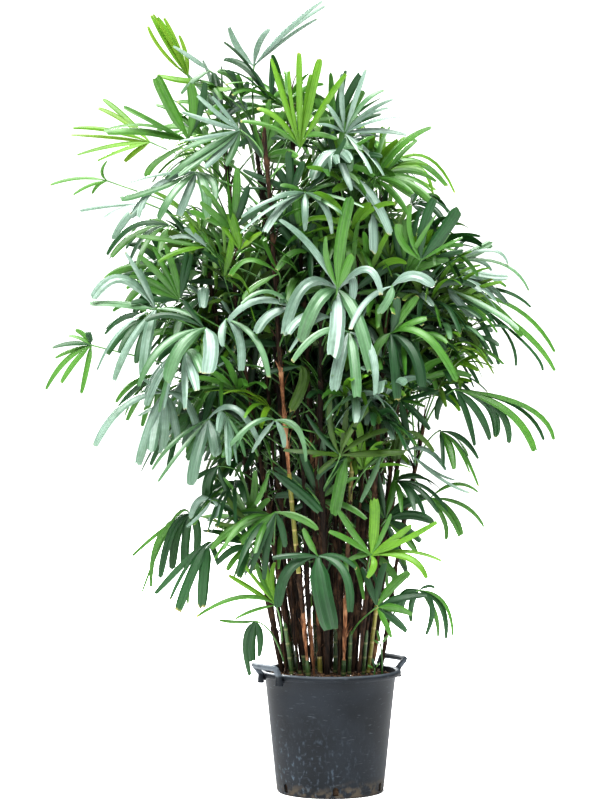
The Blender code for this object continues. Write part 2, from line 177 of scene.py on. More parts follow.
class Finish:
    # one material, with short ways to its nodes
    def __init__(self, name, colour, roughness, specular=0.5, coat=0.0, coatRoughness=0.48):
        self.material = bpy.data.materials.new(name)
        self.material.use_nodes = True
        self.tree = self.material.node_tree
        self.shader = self.tree.nodes["Principled BSDF"]
        self.shader.inputs["Base Color"].default_value = (*colour, 1)
        self.shader.inputs["Roughness"].default_value = roughness
        self.shader.inputs["Specular IOR Level"].default_value = specular
        self.shader.inputs["Coat Weight"].default_value = coat
        self.shader.inputs["Coat Roughness"].default_value = coatRoughness

    def fill(self, socket, value):
        if isinstance(value, Signal):
            self.tree.links.new(value.socket, socket)
        elif isinstance(value, tuple) and len(value) == 3 and socket.type == "RGBA":
            socket.default_value = (*value, 1)
        else:
            socket.default_value = value

    def node(self, kind, settings=None, sockets=None, out=0):
        made = self.tree.nodes.new("ShaderNode" + kind)
        for name, value in (settings or {}).items():
            setattr(made, name, value)
        for name, value in (sockets or {}).items():
            self.fill(made.inputs[name], value)
        return Signal(self, made.outputs[out])

    def part(self, which, own="Object"):
        # one of the three numbers of a place, 0 to 2
        return self.node("SeparateXYZ", None, {"Vector": self.node("TexCoord", out=own)}, out=which)

    def cloud(self, scale, detail=3.0, stretch=(1, 1, 1)):
        place = self.node("Mapping", None, {"Vector": self.node("TexCoord", out="Object"), "Scale": stretch})
        return self.node("TexNoise", None, {"Vector": place, "Scale": scale, "Detail": detail})

    def wave(self, value, turns, shift=0.0):
        # rises and falls between 0 and 1, so many times
        return (value * (math.tau * turns) - shift).sine() * 0.5 + 0.5

    def step(self, value, low, high):
        return self.node("MapRange", {"interpolation_type": "SMOOTHSTEP"},
                         {"Value": value, "From Min": low, "From Max": high})

    def blend(self, share, first, second):
        return self.node("Mix", {"data_type": "RGBA"}, {0: share, 6: first, 7: second}, out=2)

    def colour(self, value):
        self.fill(self.shader.inputs["Base Color"], value)

    def rough(self, value):
        self.fill(self.shader.inputs["Roughness"], value)

    def bump(self, height, depth, strength=1.0):
        normal = self.node("Bump", None, {"Height": height, "Distance": depth, "Strength": strength})
        self.fill(self.shader.inputs["Normal"], normal)

    def letLightThrough(self, colour, share):
        through = self.tree.nodes.new("ShaderNodeBsdfTranslucent")
        through.inputs["Color"].default_value = (*colour, 1)
        mix = self.tree.nodes.new("ShaderNodeMixShader")
        mix.inputs["Fac"].default_value = share
        self.tree.links.new(self.shader.outputs["BSDF"], mix.inputs[1])
        self.tree.links.new(through.outputs["BSDF"], mix.inputs[2])
        self.tree.links.new(mix.outputs["Shader"], self.tree.nodes["Material Output"].inputs["Surface"])


# leaves that face the sky are the broad old ones, the fresh ones are narrow
leafWidths = {"deep": 1.0, "mid": 0.95, "lively": 0.90, "fresh": 0.75, "pale": 1.25, "jade": 1.1,
              "olive": 0.9}
# each leaf colour: its two greens, the light it lets through and how much of it, and its sheen
leafTints = {
    "deep": ((0.003, 0.027, 0.006), (0.009, 0.054, 0.012), (0.05, 0.24, 0.02), 0.05, 0.25),
    "mid": ((0.015, 0.068, 0.004), (0.045, 0.136, 0.011), (0.16, 0.48, 0.03), 0.06, 0.35),
    "lively": ((0.034, 0.100, 0.003), (0.085, 0.188, 0.009), (0.30, 0.66, 0.03), 0.06, 0.20),
    "fresh": ((0.056, 0.126, 0.004), (0.115, 0.212, 0.012), (0.38, 0.62, 0.06), 0.05, 0.20),
    # pale is a lighter, greyer green that paints the sky's sheen on glossy leaves that face it, and jade,
    # between it and mid, paints less of that sheen
    "pale": ((0.044, 0.094, 0.056), (0.136, 0.200, 0.164), (0.18, 0.40, 0.10), 0.03, 0.65),
    "jade": ((0.024, 0.080, 0.022), (0.066, 0.146, 0.066), (0.16, 0.42, 0.08), 0.04, 0.60),
    "olive": ((0.018, 0.048, 0.004), (0.044, 0.090, 0.008), (0.20, 0.38, 0.03), 0.06, 0.15),
}
# the colour that some leaflets of a leaf take at random instead of its own, a lighter or darker green that
# paints the other light on a leaflet turned another way than the rest of its leaf
besideTint = {"deep": "mid", "mid": "deep", "lively": "mid", "fresh": "lively", "pale": "jade", "jade": "mid",
              "olive": "deep"}
leafLook = {
    "veins": 12,  # across a leaflet
    "veinShare": 0.22,
    "veinColour": (1.6, 0.02),  # the lighter green times this, and this much whiter
    "ribs": 4,
    "ribShare": 0.40,
    "ribShade": 0.60,  # the darker green times this, painted shade in the folds
    "dryTip": (0.26, 0.22, 0.08),
    "dryShare": 0.8,
}


def leafFinish(name, shades, through, share, sheen):
    leaf = Finish("leaf " + name, shades[0], 0.34, specular=0.3 + 0.6 * sheen, coat=sheen)
    broad = leaf.cloud(5.0, 2.0)
    fine = leaf.cloud(70.0, 4.0)
    veins = leaf.wave(leaf.part(0, "UV"), leafLook["veins"])
    # lines along the leaflet's folds, which are darkened: painted shade in the pleats
    ribs = leaf.wave(leaf.part(0, "UV"), leafLook["ribs"], math.pi / 2) ** 5.0
    body = leaf.blend(leaf.step(broad * 0.7 + fine * 0.3, 0.36, 0.62), shades[0], shades[1])
    times, plus = leafLook["veinColour"]
    veinColour = tuple(times * part + plus for part in shades[1])
    veined = leaf.blend(veins * leafLook["veinShare"], body, veinColour)
    ribShade = tuple(leafLook["ribShade"] * part for part in shades[0])
    ribbed = leaf.blend(ribs * leafLook["ribShare"], veined, ribShade)
    dry = leaf.step(leaf.part(1, "UV") + fine * 0.10 + broad * 0.22, 1.155, 1.20)
    leaf.colour(leaf.blend(dry * leafLook["dryShare"], ribbed, leafLook["dryTip"]))
    leaf.rough(0.40 + 0.20 * broad)
    leaf.bump(broad, 0.002, 0.3)
    leaf.letLightThrough(through, share)
    return leaf.material


def stalkFinish():
    stalk = Finish("leaf stalk", (0.05, 0.13, 0.03), 0.38)
    streak = stalk.cloud(60.0, 3.0, stretch=(1, 1, 0.15))
    stalk.colour(stalk.blend(stalk.step(streak, 0.35, 0.65), (0.035, 0.105, 0.022), (0.085, 0.19, 0.045)))
    stalk.bump(streak, 0.0004, 0.4)
    return stalk.material


scurfBrown = (0.16, 0.12, 0.065)


def caneFinish(name, dark, pale, ring):
    # ringed cane: pale scars at the joints, and scurf along the sides
    cane = Finish("cane " + name, dark, 0.42)
    streak = cane.cloud(55.0, 4.0, stretch=(1, 1, 0.12))
    scurf = cane.step(cane.cloud(130.0, 5.0), 0.52, 0.68)
    nearRing = cane.step(cane.wave(cane.part(1, "UV"), 1) ** 14.0, 0.25, 0.8)
    body = cane.blend(cane.step(streak, 0.34, 0.66), dark, pale)
    marked = cane.blend(scurf * 0.35, body, scurfBrown)
    cane.colour(cane.blend(nearRing * 0.8, marked, ring))
    cane.rough(0.36 + 0.3 * scurf)
    cane.bump(streak * 0.7 + scurf * 0.3 - nearRing * 0.5, 0.0012, 0.6)
    return cane.material


def fibreFinish(name, dark, mid, pale):
    # the net of old leaf bases: long fibres, a few of them bleached
    fibre = Finish("fibre " + name, dark, 0.8, specular=0.25)
    hair = fibre.cloud(240.0, 4.0, stretch=(1, 1, 0.05))
    cross = fibre.cloud(150.0, 3.0, stretch=(1, 1, 0.16))
    patch = fibre.cloud(22.0, 3.0)
    body = fibre.blend(fibre.step(hair, 0.38, 0.62), dark, mid)
    lightened = fibre.blend(fibre.step(patch, 0.52, 0.70) * 0.6, body, pale)
    fibre.colour(fibre.blend(fibre.step(cross, 0.62, 0.72) * 0.7, lightened, pale))
    fibre.rough(0.7 + 0.25 * hair)
    fibre.bump(hair * 0.65 + cross * 0.35, 0.0022, 0.9)
    return fibre.material


potColours = {
    "plain": ((0.0055, 0.0075, 0.010), (0.0140, 0.0178, 0.023)),
    # a lighter grey for the top of the rim: a painted highlight
    "paintedLipHighlight": (0.12, 0.14, 0.16),
    "chalk": (0.13, 0.18, 0.23),
    "rubbed": (0.12, 0.145, 0.17),
    "specks": (0.16, 0.18, 0.19),
    "dirt": (0.085, 0.070, 0.052),
}


def potFinish():
    # scuffed matt plastic: chalky scratches low on the left, dirt along the foot, and a painted highlight
    # along the top of the rim
    pot = Finish("pot plastic", (0.025, 0.031, 0.039), 0.5, specular=0.22)
    side = pot.part(0)
    high = pot.part(2)
    broad = pot.cloud(7.0, 5.0)
    speck = pot.cloud(420.0, 2.0)
    scratch = pot.cloud(34.0, 5.0, stretch=(1.0, 1.0, 7.0))
    slant = pot.cloud(75.0, 8.0, stretch=(1.5, 1.0, 0.8))
    plain = pot.blend(pot.step(broad, 0.30, 0.72), *potColours["plain"])
    # the top of the rim made lighter, broken up by noise: a painted highlight where the light catches the lip
    lightened = pot.step(high, potHigh.z - 0.007, potHigh.z) * (0.45 + 0.55 * pot.cloud(60.0, 4.0))
    body = pot.blend(lightened * 0.8, plain, potColours["paintedLipHighlight"])
    low = pot.step(0.16 - high, -0.10, 0.12)
    left = pot.step(0.10 - side, -0.10, 0.22)
    chalked = pot.blend(pot.step(slant, 0.52, 0.78) * low * left * 0.45, body, potColours["chalk"])
    rubbed = pot.blend(pot.step(scratch, 0.62, 0.78) * 0.35, chalked, potColours["rubbed"])
    dotted = pot.blend(pot.step(speck, 0.70, 0.78) * 0.4, rubbed, potColours["specks"])
    nearFoot = pot.step(0.040 - high + (broad - 0.5) * 0.09, -0.004, 0.030)
    dirt = nearFoot * pot.step(pot.cloud(48.0, 5.0), 0.42, 0.60)
    pot.colour(pot.blend(dirt * 0.75, dotted, potColours["dirt"]))
    pot.rough(0.46 + 0.22 * broad + 0.25 * dirt)
    pot.bump(broad * 0.3 + speck * 0.25 + scratch * 0.45, 0.0009, 0.45)
    return pot.material


def soilFinish():
    soil = Finish("potting mix", (0.03, 0.02, 0.014), 0.95, specular=0.2)
    grain = soil.cloud(160.0, 6.0)
    clod = soil.cloud(38.0, 4.0)
    body = soil.blend(soil.step(clod, 0.35, 0.65), (0.016, 0.011, 0.008), (0.055, 0.036, 0.023))
    soil.colour(soil.blend(soil.step(grain, 0.60, 0.72) * 0.6, body, (0.14, 0.095, 0.06)))
    soil.bump(grain * 0.6 + clod * 0.4, 0.004, 1.0)
    return soil.material


def chipFinish(name, dark, pale):
    chip = Finish(name, dark, 0.85, specular=0.25)
    grain = chip.cloud(210.0, 4.0)
    chip.colour(chip.blend(chip.step(grain, 0.35, 0.65), dark, pale))
    chip.bump(grain, 0.0015, 0.7)
    return chip.material


def floorFinish():
    floor = Finish("pale floor", (0.93, 0.93, 0.93), 0.7, specular=0.2)
    return floor.material


# Making


def newPiece(name, work, finishes):
    # the finished mesh of a piece, at the origin with its place in its mesh
    mesh = bpy.data.meshes.new(name)
    work.to_mesh(mesh)
    work.free()
    for finish in finishes:
        mesh.materials.append(finish)
    piece = bpy.data.objects.new(name, mesh)
    bpy.context.scene.collection.objects.link(piece)
    return piece


def addToPlant(piece, slot, *nodes):
    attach(piece, "root")
    if nodes:
        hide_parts(*nodes)


def startWork():
    work = bmesh.new()
    work.loops.layers.uv.new("weave")
    return work


def between(pair, share):
    return pair[0] + (pair[1] - pair[0]) * share


def pour(work, into):
    # a part made on its own joins a larger one, which is much quicker than making it there
    mesh = bpy.data.meshes.new("part")
    work.to_mesh(mesh)
    work.free()
    into.from_mesh(mesh)
    bpy.data.meshes.remove(mesh)


def addSheet(work, across, along, place, finish=0, ribbed=False):
    # a grid whose points go where place says: u from -1 to 1 across it, v from 0 to 1 along it
    verts = bmesh.ops.create_grid(work, x_segments=across, y_segments=along, size=1.0)["verts"]
    flat = {}
    for vert in verts:
        u, v = vert.co.x, (vert.co.y + 1) / 2
        flat[vert] = (u, v)
        vert.co = place(u, v)
    uv = work.loops.layers.uv.active
    for face in {face for vert in verts for face in vert.link_faces}:
        face.smooth = True
        middle = sum(flat[vert][1] for vert in face.verts) / len(face.verts)
        face.material_index = finish(middle) if callable(finish) else finish
        for loop in face.loops:
            u, v = flat[loop.vert]
            loop[uv].uv = ((u + 1) / 2, v)
    if ribbed:
        for edge in {edge for vert in verts for edge in vert.link_edges}:
            first, second = (flat[vert][0] for vert in edge.verts)
            if abs(first - second) < 0.01 and abs(first) < 0.99:
                edge.smooth = False
    return verts


def headings(points):
    # the way on at each point
    starts = points[:1] + points[:-1]
    ends = points[1:] + points[-1:]
    return [(end - start).normalized() for start, end in zip(starts, ends)]


def rails(points, side):
    # at each point: the point, the way on, the side and the face, carried along without a twist
    carried = []
    for point, way in zip(points, headings(points)):
        side = (side - way * side.dot(way)).normalized()
        carried.append((point, way, side, side.cross(way)))
    return carried


def addTube(work, points, radii, sides, finish=0, side=None, marks=None):
    # a tube along the points; marks gives each ring its own v, so that a pattern falls where it should
    if side is None:
        side = (points[1] - points[0]).normalized().cross(Vector((0.31, 0.94, 0.12))).normalized()
    line = rails(points, side)
    last = len(points) - 1

    def place(u, v):
        n = round(v * last)
        point, way, across, face = line[n]
        turn = -math.pi * u
        return point + (across * math.cos(turn) + face * math.sin(turn)) * radii(n, turn)

    verts = addSheet(work, sides, last, place, finish)
    if marks:
        uv = work.loops.layers.uv.active
        for face in {face for vert in verts for face in vert.link_faces}:
            for loop in face.loops:
                loop[uv].uv.y = marks[round(loop[uv].uv.y * last)]
    bmesh.ops.remove_doubles(work, verts=verts, dist=0.00001)
    return verts


# Pot

pot = {
    "rimRadius": potHigh.x,
    "height": potHigh.z,
    "rimHeight": 0.018,
    "neckRadius": 0.184,
    "footRadius": 0.150,
    "footRounding": 0.008,
    "wall": 0.004,
    "steps": 144,
    "slots": 6,
    "slotWidth": 0.016,
    "slotLow": 0.008,
    "slotTop": 0.032,
    "slotTurn": 5,
    "slotReach": 0.014,  # how far the cutter goes to either side of the wall
    "rings": (0.28, 0.235, 0.23, 0.16, 0.09),  # heights of the rows of points down the wall
    "underside": 0.0015,  # how far it is drawn in, inside the ring that it stands on
}


def wallRadius(height):
    share = min(1.0, height / (pot["height"] - pot["rimHeight"]))
    return pot["footRadius"] + (pot["neckRadius"] - pot["footRadius"]) * share


def arcPoints(radius, height, size, start, end, steps):
    angles = [math.radians(start + (end - start) * n / steps) for n in range(steps + 1)]
    return [(radius + size * math.cos(angle), height + size * math.sin(angle)) for angle in angles]


def bakeModifiers(piece):
    graph = bpy.context.evaluated_depsgraph_get()
    mesh = bpy.data.meshes.new_from_object(piece.evaluated_get(graph))
    piece.modifiers.clear()
    piece.data = mesh


def slotCutter():
    # one arched block through the foot of the wall, spun to all the slots
    half = pot["slotWidth"] / 2
    outline = [(-half, pot["slotLow"]), (half, pot["slotLow"])]
    outline += arcPoints(0, pot["slotTop"] - half, half, 0, 180, 10)
    near = wallRadius(0) - pot["slotReach"]
    work = bmesh.new()
    for n in range(pot["slots"]):
        corners = [work.verts.new((near, side, height)) for side, height in outline]
        face = work.faces.new(corners)
        pushed = [part for part in bmesh.ops.extrude_face_region(work, geom=[face])["geom"]
                  if isinstance(part, bmesh.types.BMVert)]
        bmesh.ops.translate(work, verts=pushed, vec=(2 * pot["slotReach"], 0, 0))
        turn = math.radians(pot["slotTurn"] - 90 + 360 / pot["slots"] * n)
        bmesh.ops.rotate(work, verts=corners + pushed, matrix=Matrix.Rotation(turn, 3, "Z"))
    bmesh.ops.recalc_face_normals(work, faces=work.faces)
    return newPiece("slot cutter", work, [])


def makePot(finish):
    # its outline goes up the inside, round the rim, down the wall and in under the foot
    lip = pot["rimHeight"] / 2
    neck = pot["height"] - pot["rimHeight"]
    inner = pot["neckRadius"] - pot["wall"]
    foot = wallRadius(pot["footRounding"]) - pot["footRounding"]
    profile = [(0, pot["wall"]), (wallRadius(0.004) - 0.012, pot["wall"])]
    profile += [(wallRadius(0.010) - pot["wall"], 0.010), (inner, neck - 0.004)]
    profile += [(inner + 0.002, neck + 0.002), (inner + lip * 0.4, pot["height"] - 0.003)]
    profile += arcPoints(pot["rimRadius"] - lip, pot["height"] - lip, lip, 112, -62, 12)
    profile += [(pot["neckRadius"] + 0.0035, neck + 0.0005), (pot["neckRadius"] + 0.0005, neck - 0.003)]
    profile += [(wallRadius(height), height) for height in pot["rings"]]
    profile += arcPoints(foot, pot["footRounding"], pot["footRounding"], 0, -90, 6) + [(foot - 0.012, 0.0)]
    profile += [(foot - 0.014, pot["underside"]), (0, pot["underside"])]
    work = bmesh.new()
    verts = [work.verts.new((radius, 0, height)) for radius, height in profile]
    edges = [work.edges.new(pair) for pair in zip(verts, verts[1:])]
    bmesh.ops.spin(work, geom=verts + edges, axis=up, cent=(0, 0, 0), angle=math.tau, steps=pot["steps"],
                   use_merge=True)
    bmesh.ops.remove_doubles(work, verts=work.verts, dist=0.00001)
    bmesh.ops.recalc_face_normals(work, faces=work.faces)
    for face in work.faces:
        face.smooth = True
    piece = newPiece("nursery_pot", work, [finish])
    cutter = slotCutter()
    cut = piece.modifiers.new("slots", "BOOLEAN")
    cut.object = cutter
    cut.solver = "EXACT"
    bakeModifiers(piece)
    piece.data.set_sharp_from_angle(angle=math.radians(38))
    bpy.data.objects.remove(cutter, do_unlink=True)
    addToPlant(piece, "pot", "pot")


grip = {
    "turns": {"grip_left": 213, "grip_right": 33},
    "length": 0.113,
    "rise": 0.026,
    "lean": 0.019,
    "thick": 0.006,
    "drop": 0.030,
    "shown": 0.0072,
    "footWiden": 0.95,
    "gap": 0.0003,
    "legAt": 0.84,  # of half its length
    "tab": (0.013, 0.024, 0.007),
    "tabRounding": 0.0016,
}


def makeGrip(name, turn, finish):
    # a squared bar that follows the rim, on two legs that widen to tabs under the lip
    near = pot["rimRadius"] + grip["thick"] + grip["gap"]
    half = grip["length"] / 2 / near
    middle = math.radians(turn)
    top = pot["height"] + grip["rise"] - grip["thick"]
    low = pot["height"] - grip["drop"]
    legAt = grip["legAt"]
    leg = [(legAt, 0.0, low), (legAt, 0.0, low + 0.012), (legAt, 0.0, pot["height"] - 0.006),
           (0.86, 0.3, pot["height"] + 0.002), (0.90, 0.65, top - 0.009), (0.92, 0.9, top - 0.003)]
    bar = [(0.87 - 1.74 * n / 10, 1.0, top) for n in range(11)]
    corners = leg + bar + [(-side, lean, height) for side, lean, height in reversed(leg)]
    route = []
    for side, lean, height in corners:
        way = middle + half * side
        radius = near + grip["lean"] * lean
        route.append(Vector((radius * math.cos(way), radius * math.sin(way), height)))
    route = [route[0] - up * 0.0006] + route + [route[-1] - up * 0.0006]
    last = len(route) - 1
    tangent = Vector((-math.sin(middle + half * legAt), math.cos(middle + half * legAt), 0))

    def size(n, angle):
        square = (abs(math.cos(angle)) ** 4 + abs(math.sin(angle)) ** 4) ** -0.25
        footShare = max(0.0, 1 - min(n, last - n) / 4.5)
        wide = 1 + grip["footWiden"] * footShare * abs(math.cos(angle)) ** 2
        flat = 1 - 0.22 * footShare * abs(math.sin(angle)) ** 2
        return grip["shown"] * square * wide * flat * (0.25 if n in (0, last) else 1)

    work = startWork()
    addTube(work, route, size, 24, side=tangent)
    bmesh.ops.holes_fill(work, edges=[edge for edge in work.edges if edge.is_boundary], sides=0)
    for side in (legAt, -legAt):
        tab = bmesh.ops.create_cube(work, size=1.0)["verts"]
        bmesh.ops.scale(work, verts=tab, vec=grip["tab"])
        bmesh.ops.translate(work, verts=tab, vec=(near - 0.0045, 0, low + 0.0105))
        bmesh.ops.rotate(work, verts=tab, matrix=Matrix.Rotation(middle + half * side, 3, "Z"))
        edges = list({edge for vert in tab for edge in vert.link_edges})
        bmesh.ops.bevel(work, geom=edges, offset=grip["tabRounding"], offset_type="OFFSET", affect="EDGES",
                        segments=2, profile=0.5, material=-1)
    for face in work.faces:
        face.smooth = True
    bmesh.ops.recalc_face_normals(work, faces=work.faces)
    piece = newPiece(name + "_handle", work, [finish])
    piece.data.set_sharp_from_angle(angle=math.radians(42))
    addToPlant(piece, "pot", name)


# Potting mix

mix = {
    "top": 0.334,
    "flat": 0.150,  # beyond this radius it falls to the wall
    "gap": 0.0009,
    "skirt": (0.315, 0.006),  # from where to where it follows the inside of the wall
    "skirtFrom": 0.8,  # of the way out over it
    "chips": 420,
    "chipSize": (0.0025, 0.0085),
    "pale": 70,
    "paleSize": (0.0012, 0.0026),
    "seed": 11,
}


def mixHeight(x, y):
    bumps = noise.noise(Vector((x, y, 0)) * 26) * 0.0035 + noise.noise(Vector((x, y, 3)) * 90) * 0.0016
    edge = max(0.0, math.hypot(x, y) - mix["flat"])
    return mix["top"] - 0.001 + bumps - 0.30 * edge


def makeMix(finish):
    # a rough disc, which turns down inside the wall as far as the slots in its foot
    work = startWork()
    inner = wallRadius(mix["top"]) - pot["wall"] - mix["gap"]
    turnDown = mix["skirtFrom"]
    top, foot = mix["skirt"]

    def place(u, v):
        turn = -math.pi * u
        if v <= turnDown:
            x = inner * v / turnDown * math.cos(turn)
            y = inner * v / turnDown * math.sin(turn)
            return Vector((x, y, mixHeight(x, y)))
        down = (v - turnDown) / (1 - turnDown)
        high = top * (1 - down) + foot * down
        rough = 0.0012 * abs(noise.noise(Vector((turn * 9, high * 60, 0))))
        radius = wallRadius(high) - pot["wall"] - mix["gap"] - rough
        return Vector((radius * math.cos(turn), radius * math.sin(turn), high))

    addSheet(work, 110, 60, place)
    bmesh.ops.remove_doubles(work, verts=work.verts, dist=0.00001)
    bmesh.ops.recalc_face_normals(work, faces=work.faces)
    addToPlant(newPiece("potting_mix", work, [finish]), "soil", "soil")


def scatter(name, count, sizes, finish, dice, shape):
    # small bits on the mix, each a cut-down shape at its own turn
    work = bmesh.new()
    inner = wallRadius(mix["top"]) - pot["wall"] - 0.008
    for _ in range(count):
        radius = inner * math.sqrt(dice.random())
        turn = dice.uniform(0, math.tau)
        x = radius * math.cos(turn)
        y = radius * math.sin(turn)
        size = dice.uniform(*sizes)
        verts = shape(work)
        spin = Matrix.Rotation(dice.uniform(0, math.tau), 3, "Z")
        spin = spin @ Matrix.Rotation(dice.gauss(0, 0.5), 3, "X")
        stretch = (size * dice.uniform(0.8, 1.9), size, size * dice.uniform(0.25, 0.7))
        bmesh.ops.scale(work, verts=verts, vec=stretch)
        for vert in verts:
            vert.co += vert.co * dice.uniform(-0.25, 0.25)
        bmesh.ops.rotate(work, verts=verts, matrix=spin)
        bmesh.ops.translate(work, verts=verts, vec=(x, y, mixHeight(x, y) + size * 0.15))
    addToPlant(newPiece(name, work, [finish]), "soil")


def startChip(work):
    return bmesh.ops.create_cube(work, size=1.0)["verts"]


def startGrain(work):
    return bmesh.ops.create_icosphere(work, subdivisions=1, radius=1.0)["verts"]


def makeBits(bark, grit):
    dice = random.Random(mix["seed"])
    scatter("bark_chips", mix["chips"], mix["chipSize"], bark, dice, startChip)
    scatter("pale_grit", mix["pale"], mix["paleSize"], grit, dice, startGrain)


# Canes

clump = {
    "centre": Vector((0.010, 0.0, 0)),
    "soil": 0.3343,
    "splay": 1.214,  # the share by which canes stand further out at each metre of height
    "wave": 0.010,
    "joint": 0.040,  # from one ring to the next
    "ring": 0.0035,  # how far a ring's swelling reaches up and down
    "swell": 0.07,
    "sides": 12,
    "slim": 0.74,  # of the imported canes' girth: of the bare cane, and of the cane inside its fibres
    "slimInside": 0.44,
    "sleeve": 0.055,  # from one old leaf base to the next
    "sleeveLength": 0.085,
    "sleeveSteps": 5,
    "hem": (-0.010, 0.016),  # how far its upper edge is torn down and up
    "opening": (0.0004, 0.0034),
    "hairs": 11,
    "hairSize": ((0.015, 0.05), (0.0004, 0.0009)),  # shortest and longest, then thinnest and thickest
    "flakes": 2,
    "flakeSize": ((0.03, 0.08), (0.0018, 0.0040)),
    "seed": 5,
}

# each cane: its foot, the height of its tip, its radius at foot and tip, what it wears, and what else it
# wears further down, each up to its own height; a cane that is a node has the node's name
canes = {
    "cane_01": (-0.135, -0.020, 1.40, 0.0118, 0.0095, "brown"),
    "cane_02": (-0.108, -0.062, 1.45, 0.0080, 0.0070, "brown", ("green", 0.48)),
    "cane_03": (-0.103, 0.025, 1.80, 0.0100, 0.0080, "brown", ("green", 0.42)),
    "cane_04": (-0.062, -0.092, 1.75, 0.0095, 0.0085, "brown",
                ("green", 0.365), ("tan", 0.44), ("brown", 0.62), ("lime", 0.90), ("tan", 1.14)),
    "cane_05": (-0.070, -0.030, 1.88, 0.0085, 0.0070, "dark", ("green", 0.40)),
    "cane_06": (-0.062, 0.078, 1.70, 0.0120, 0.0090, "dark"),
    "cane_07": (-0.028, -0.055, 1.90, 0.0095, 0.0070, "brown",
                ("lime", 0.39), ("brown", 0.44), ("tan", 0.50), ("brown", 0.78), ("tan", 0.92)),
    "cane_08": (-0.030, 0.020, 1.85, 0.0090, 0.0070, "dark", ("green", 0.42)),
    "cane_09": (-0.008, -0.102, 1.30, 0.0115, 0.0095, "dark"),
    "cane_10": (0.014, -0.030, 1.80, 0.0085, 0.0070, "brown", ("green", 0.48)),
    "cane_11": (0.030, 0.038, 1.70, 0.0110, 0.0080, "dark"),
    "cane_12": (0.036, -0.085, 1.55, 0.0090, 0.0080, "brown",
                ("green", 0.38), ("tan", 0.52), ("brown", 0.80), ("lime", 0.98)),
    "cane_13": (0.062, -0.030, 1.60, 0.0115, 0.0095, "brown"),
    "cane_14": (0.078, -0.078, 1.35, 0.0105, 0.0090, "brown", ("brown", 0.345), ("lime", 0.375)),
    "cane_15": (0.106, -0.032, 1.40, 0.0080, 0.0070, "brown", ("lime", 0.56)),
    "cane_16": (0.118, 0.018, 1.25, 0.0100, 0.0080, "brown", ("tan", 0.42)),
    "more_01": (-0.088, -0.010, 1.30, 0.0075, 0.0060, "brown", ("green", 0.40)),
    "more_02": (-0.046, -0.068, 1.10, 0.0085, 0.0070, "dark", ("tan", 0.44)),
    "more_03": (-0.122, -0.050, 0.62, 0.0070, 0.0055, "brown"),
    "more_04": (-0.036, 0.062, 1.62, 0.0090, 0.0070, "dark", ("green", 0.50)),
    "more_05": (0.004, 0.082, 1.50, 0.0100, 0.0080, "brown"),
    "more_06": (0.060, 0.075, 1.66, 0.0100, 0.0080, "dark"),
    "more_07": (0.052, -0.058, 0.95, 0.0080, 0.0065, "brown", ("green", 0.46)),
    "more_08": (0.092, -0.052, 0.78, 0.0070, 0.0055, "brown", ("green", 0.45)),
    "more_09": (0.090, 0.050, 1.52, 0.0090, 0.0070, "brown", ("green", 0.50)),
    "more_10": (-0.100, 0.068, 1.55, 0.0090, 0.0070, "dark", ("green", 0.50)),
    "more_11": (-0.014, -0.076, 1.02, 0.0080, 0.0065, "brown"),
    "more_12": (-0.140, 0.022, 0.92, 0.0080, 0.0065, "brown"),
    "more_13": (0.142, 0.000, 1.02, 0.0080, 0.0065, "brown"),
    "more_14": (-0.118, 0.045, 1.20, 0.0085, 0.0070, "dark"),
    "more_15": (-0.085, -0.045, 0.90, 0.0070, 0.0060, "brown", ("green", 0.35)),
    "more_16": (-0.050, 0.045, 1.40, 0.0085, 0.0070, "dark"),
    "more_17": (-0.020, -0.020, 1.25, 0.0080, 0.0065, "brown"),
    "more_18": (0.000, 0.050, 1.45, 0.0085, 0.0070, "dark"),
    "more_19": (0.024, -0.062, 1.00, 0.0075, 0.0060, "brown"),
    "more_20": (0.046, 0.008, 1.35, 0.0085, 0.0070, "dark"),
    "more_21": (0.072, 0.024, 1.30, 0.0080, 0.0070, "brown"),
    "more_22": (0.086, -0.004, 1.10, 0.0080, 0.0065, "dark"),
    "more_23": (-0.075, 0.104, 1.30, 0.0085, 0.0070, "dark"),
    "more_24": (0.020, 0.112, 1.35, 0.0085, 0.0070, "dark"),
    "more_25": (-0.006, -0.046, 0.80, 0.0065, 0.0055, "brown", ("green", 0.45)),
    "more_26": (-0.078, 0.018, 1.15, 0.0075, 0.0060, "brown"),
    "more_27": (0.104, 0.072, 1.20, 0.0080, 0.0065, "dark"),
}
wearOrder = ["green", "lime", "tan", "brown", "dark"]
fibrous = {"brown", "dark", "tan"}


def caneAt(cane, height):
    # canes lean away from the clump's middle, all by the same share, so that none crosses another
    order = list(canes).index(cane)
    footX, footY, tip = canes[cane][:3]
    foot = Vector((footX, footY, 0))
    rise = height - clump["soil"]
    share = max(0.0, rise / (tip - clump["soil"]))
    wave = Vector((math.sin(5 * share + order), math.cos(4 * share + 2 * order), 0)) * clump["wave"] * share
    return foot + (foot - clump["centre"]) * clump["splay"] * rise + wave + up * height


def caneRadius(cane, height):
    tip, footRadius, tipRadius = canes[cane][2:5]
    share = (height - clump["soil"]) / (tip - clump["soil"])
    return footRadius + (tipRadius - footRadius) * share


def wornAt(cane, height):
    above, *bands = canes[cane][5:]
    return next((wear for wear, top in bands if height < top), above)


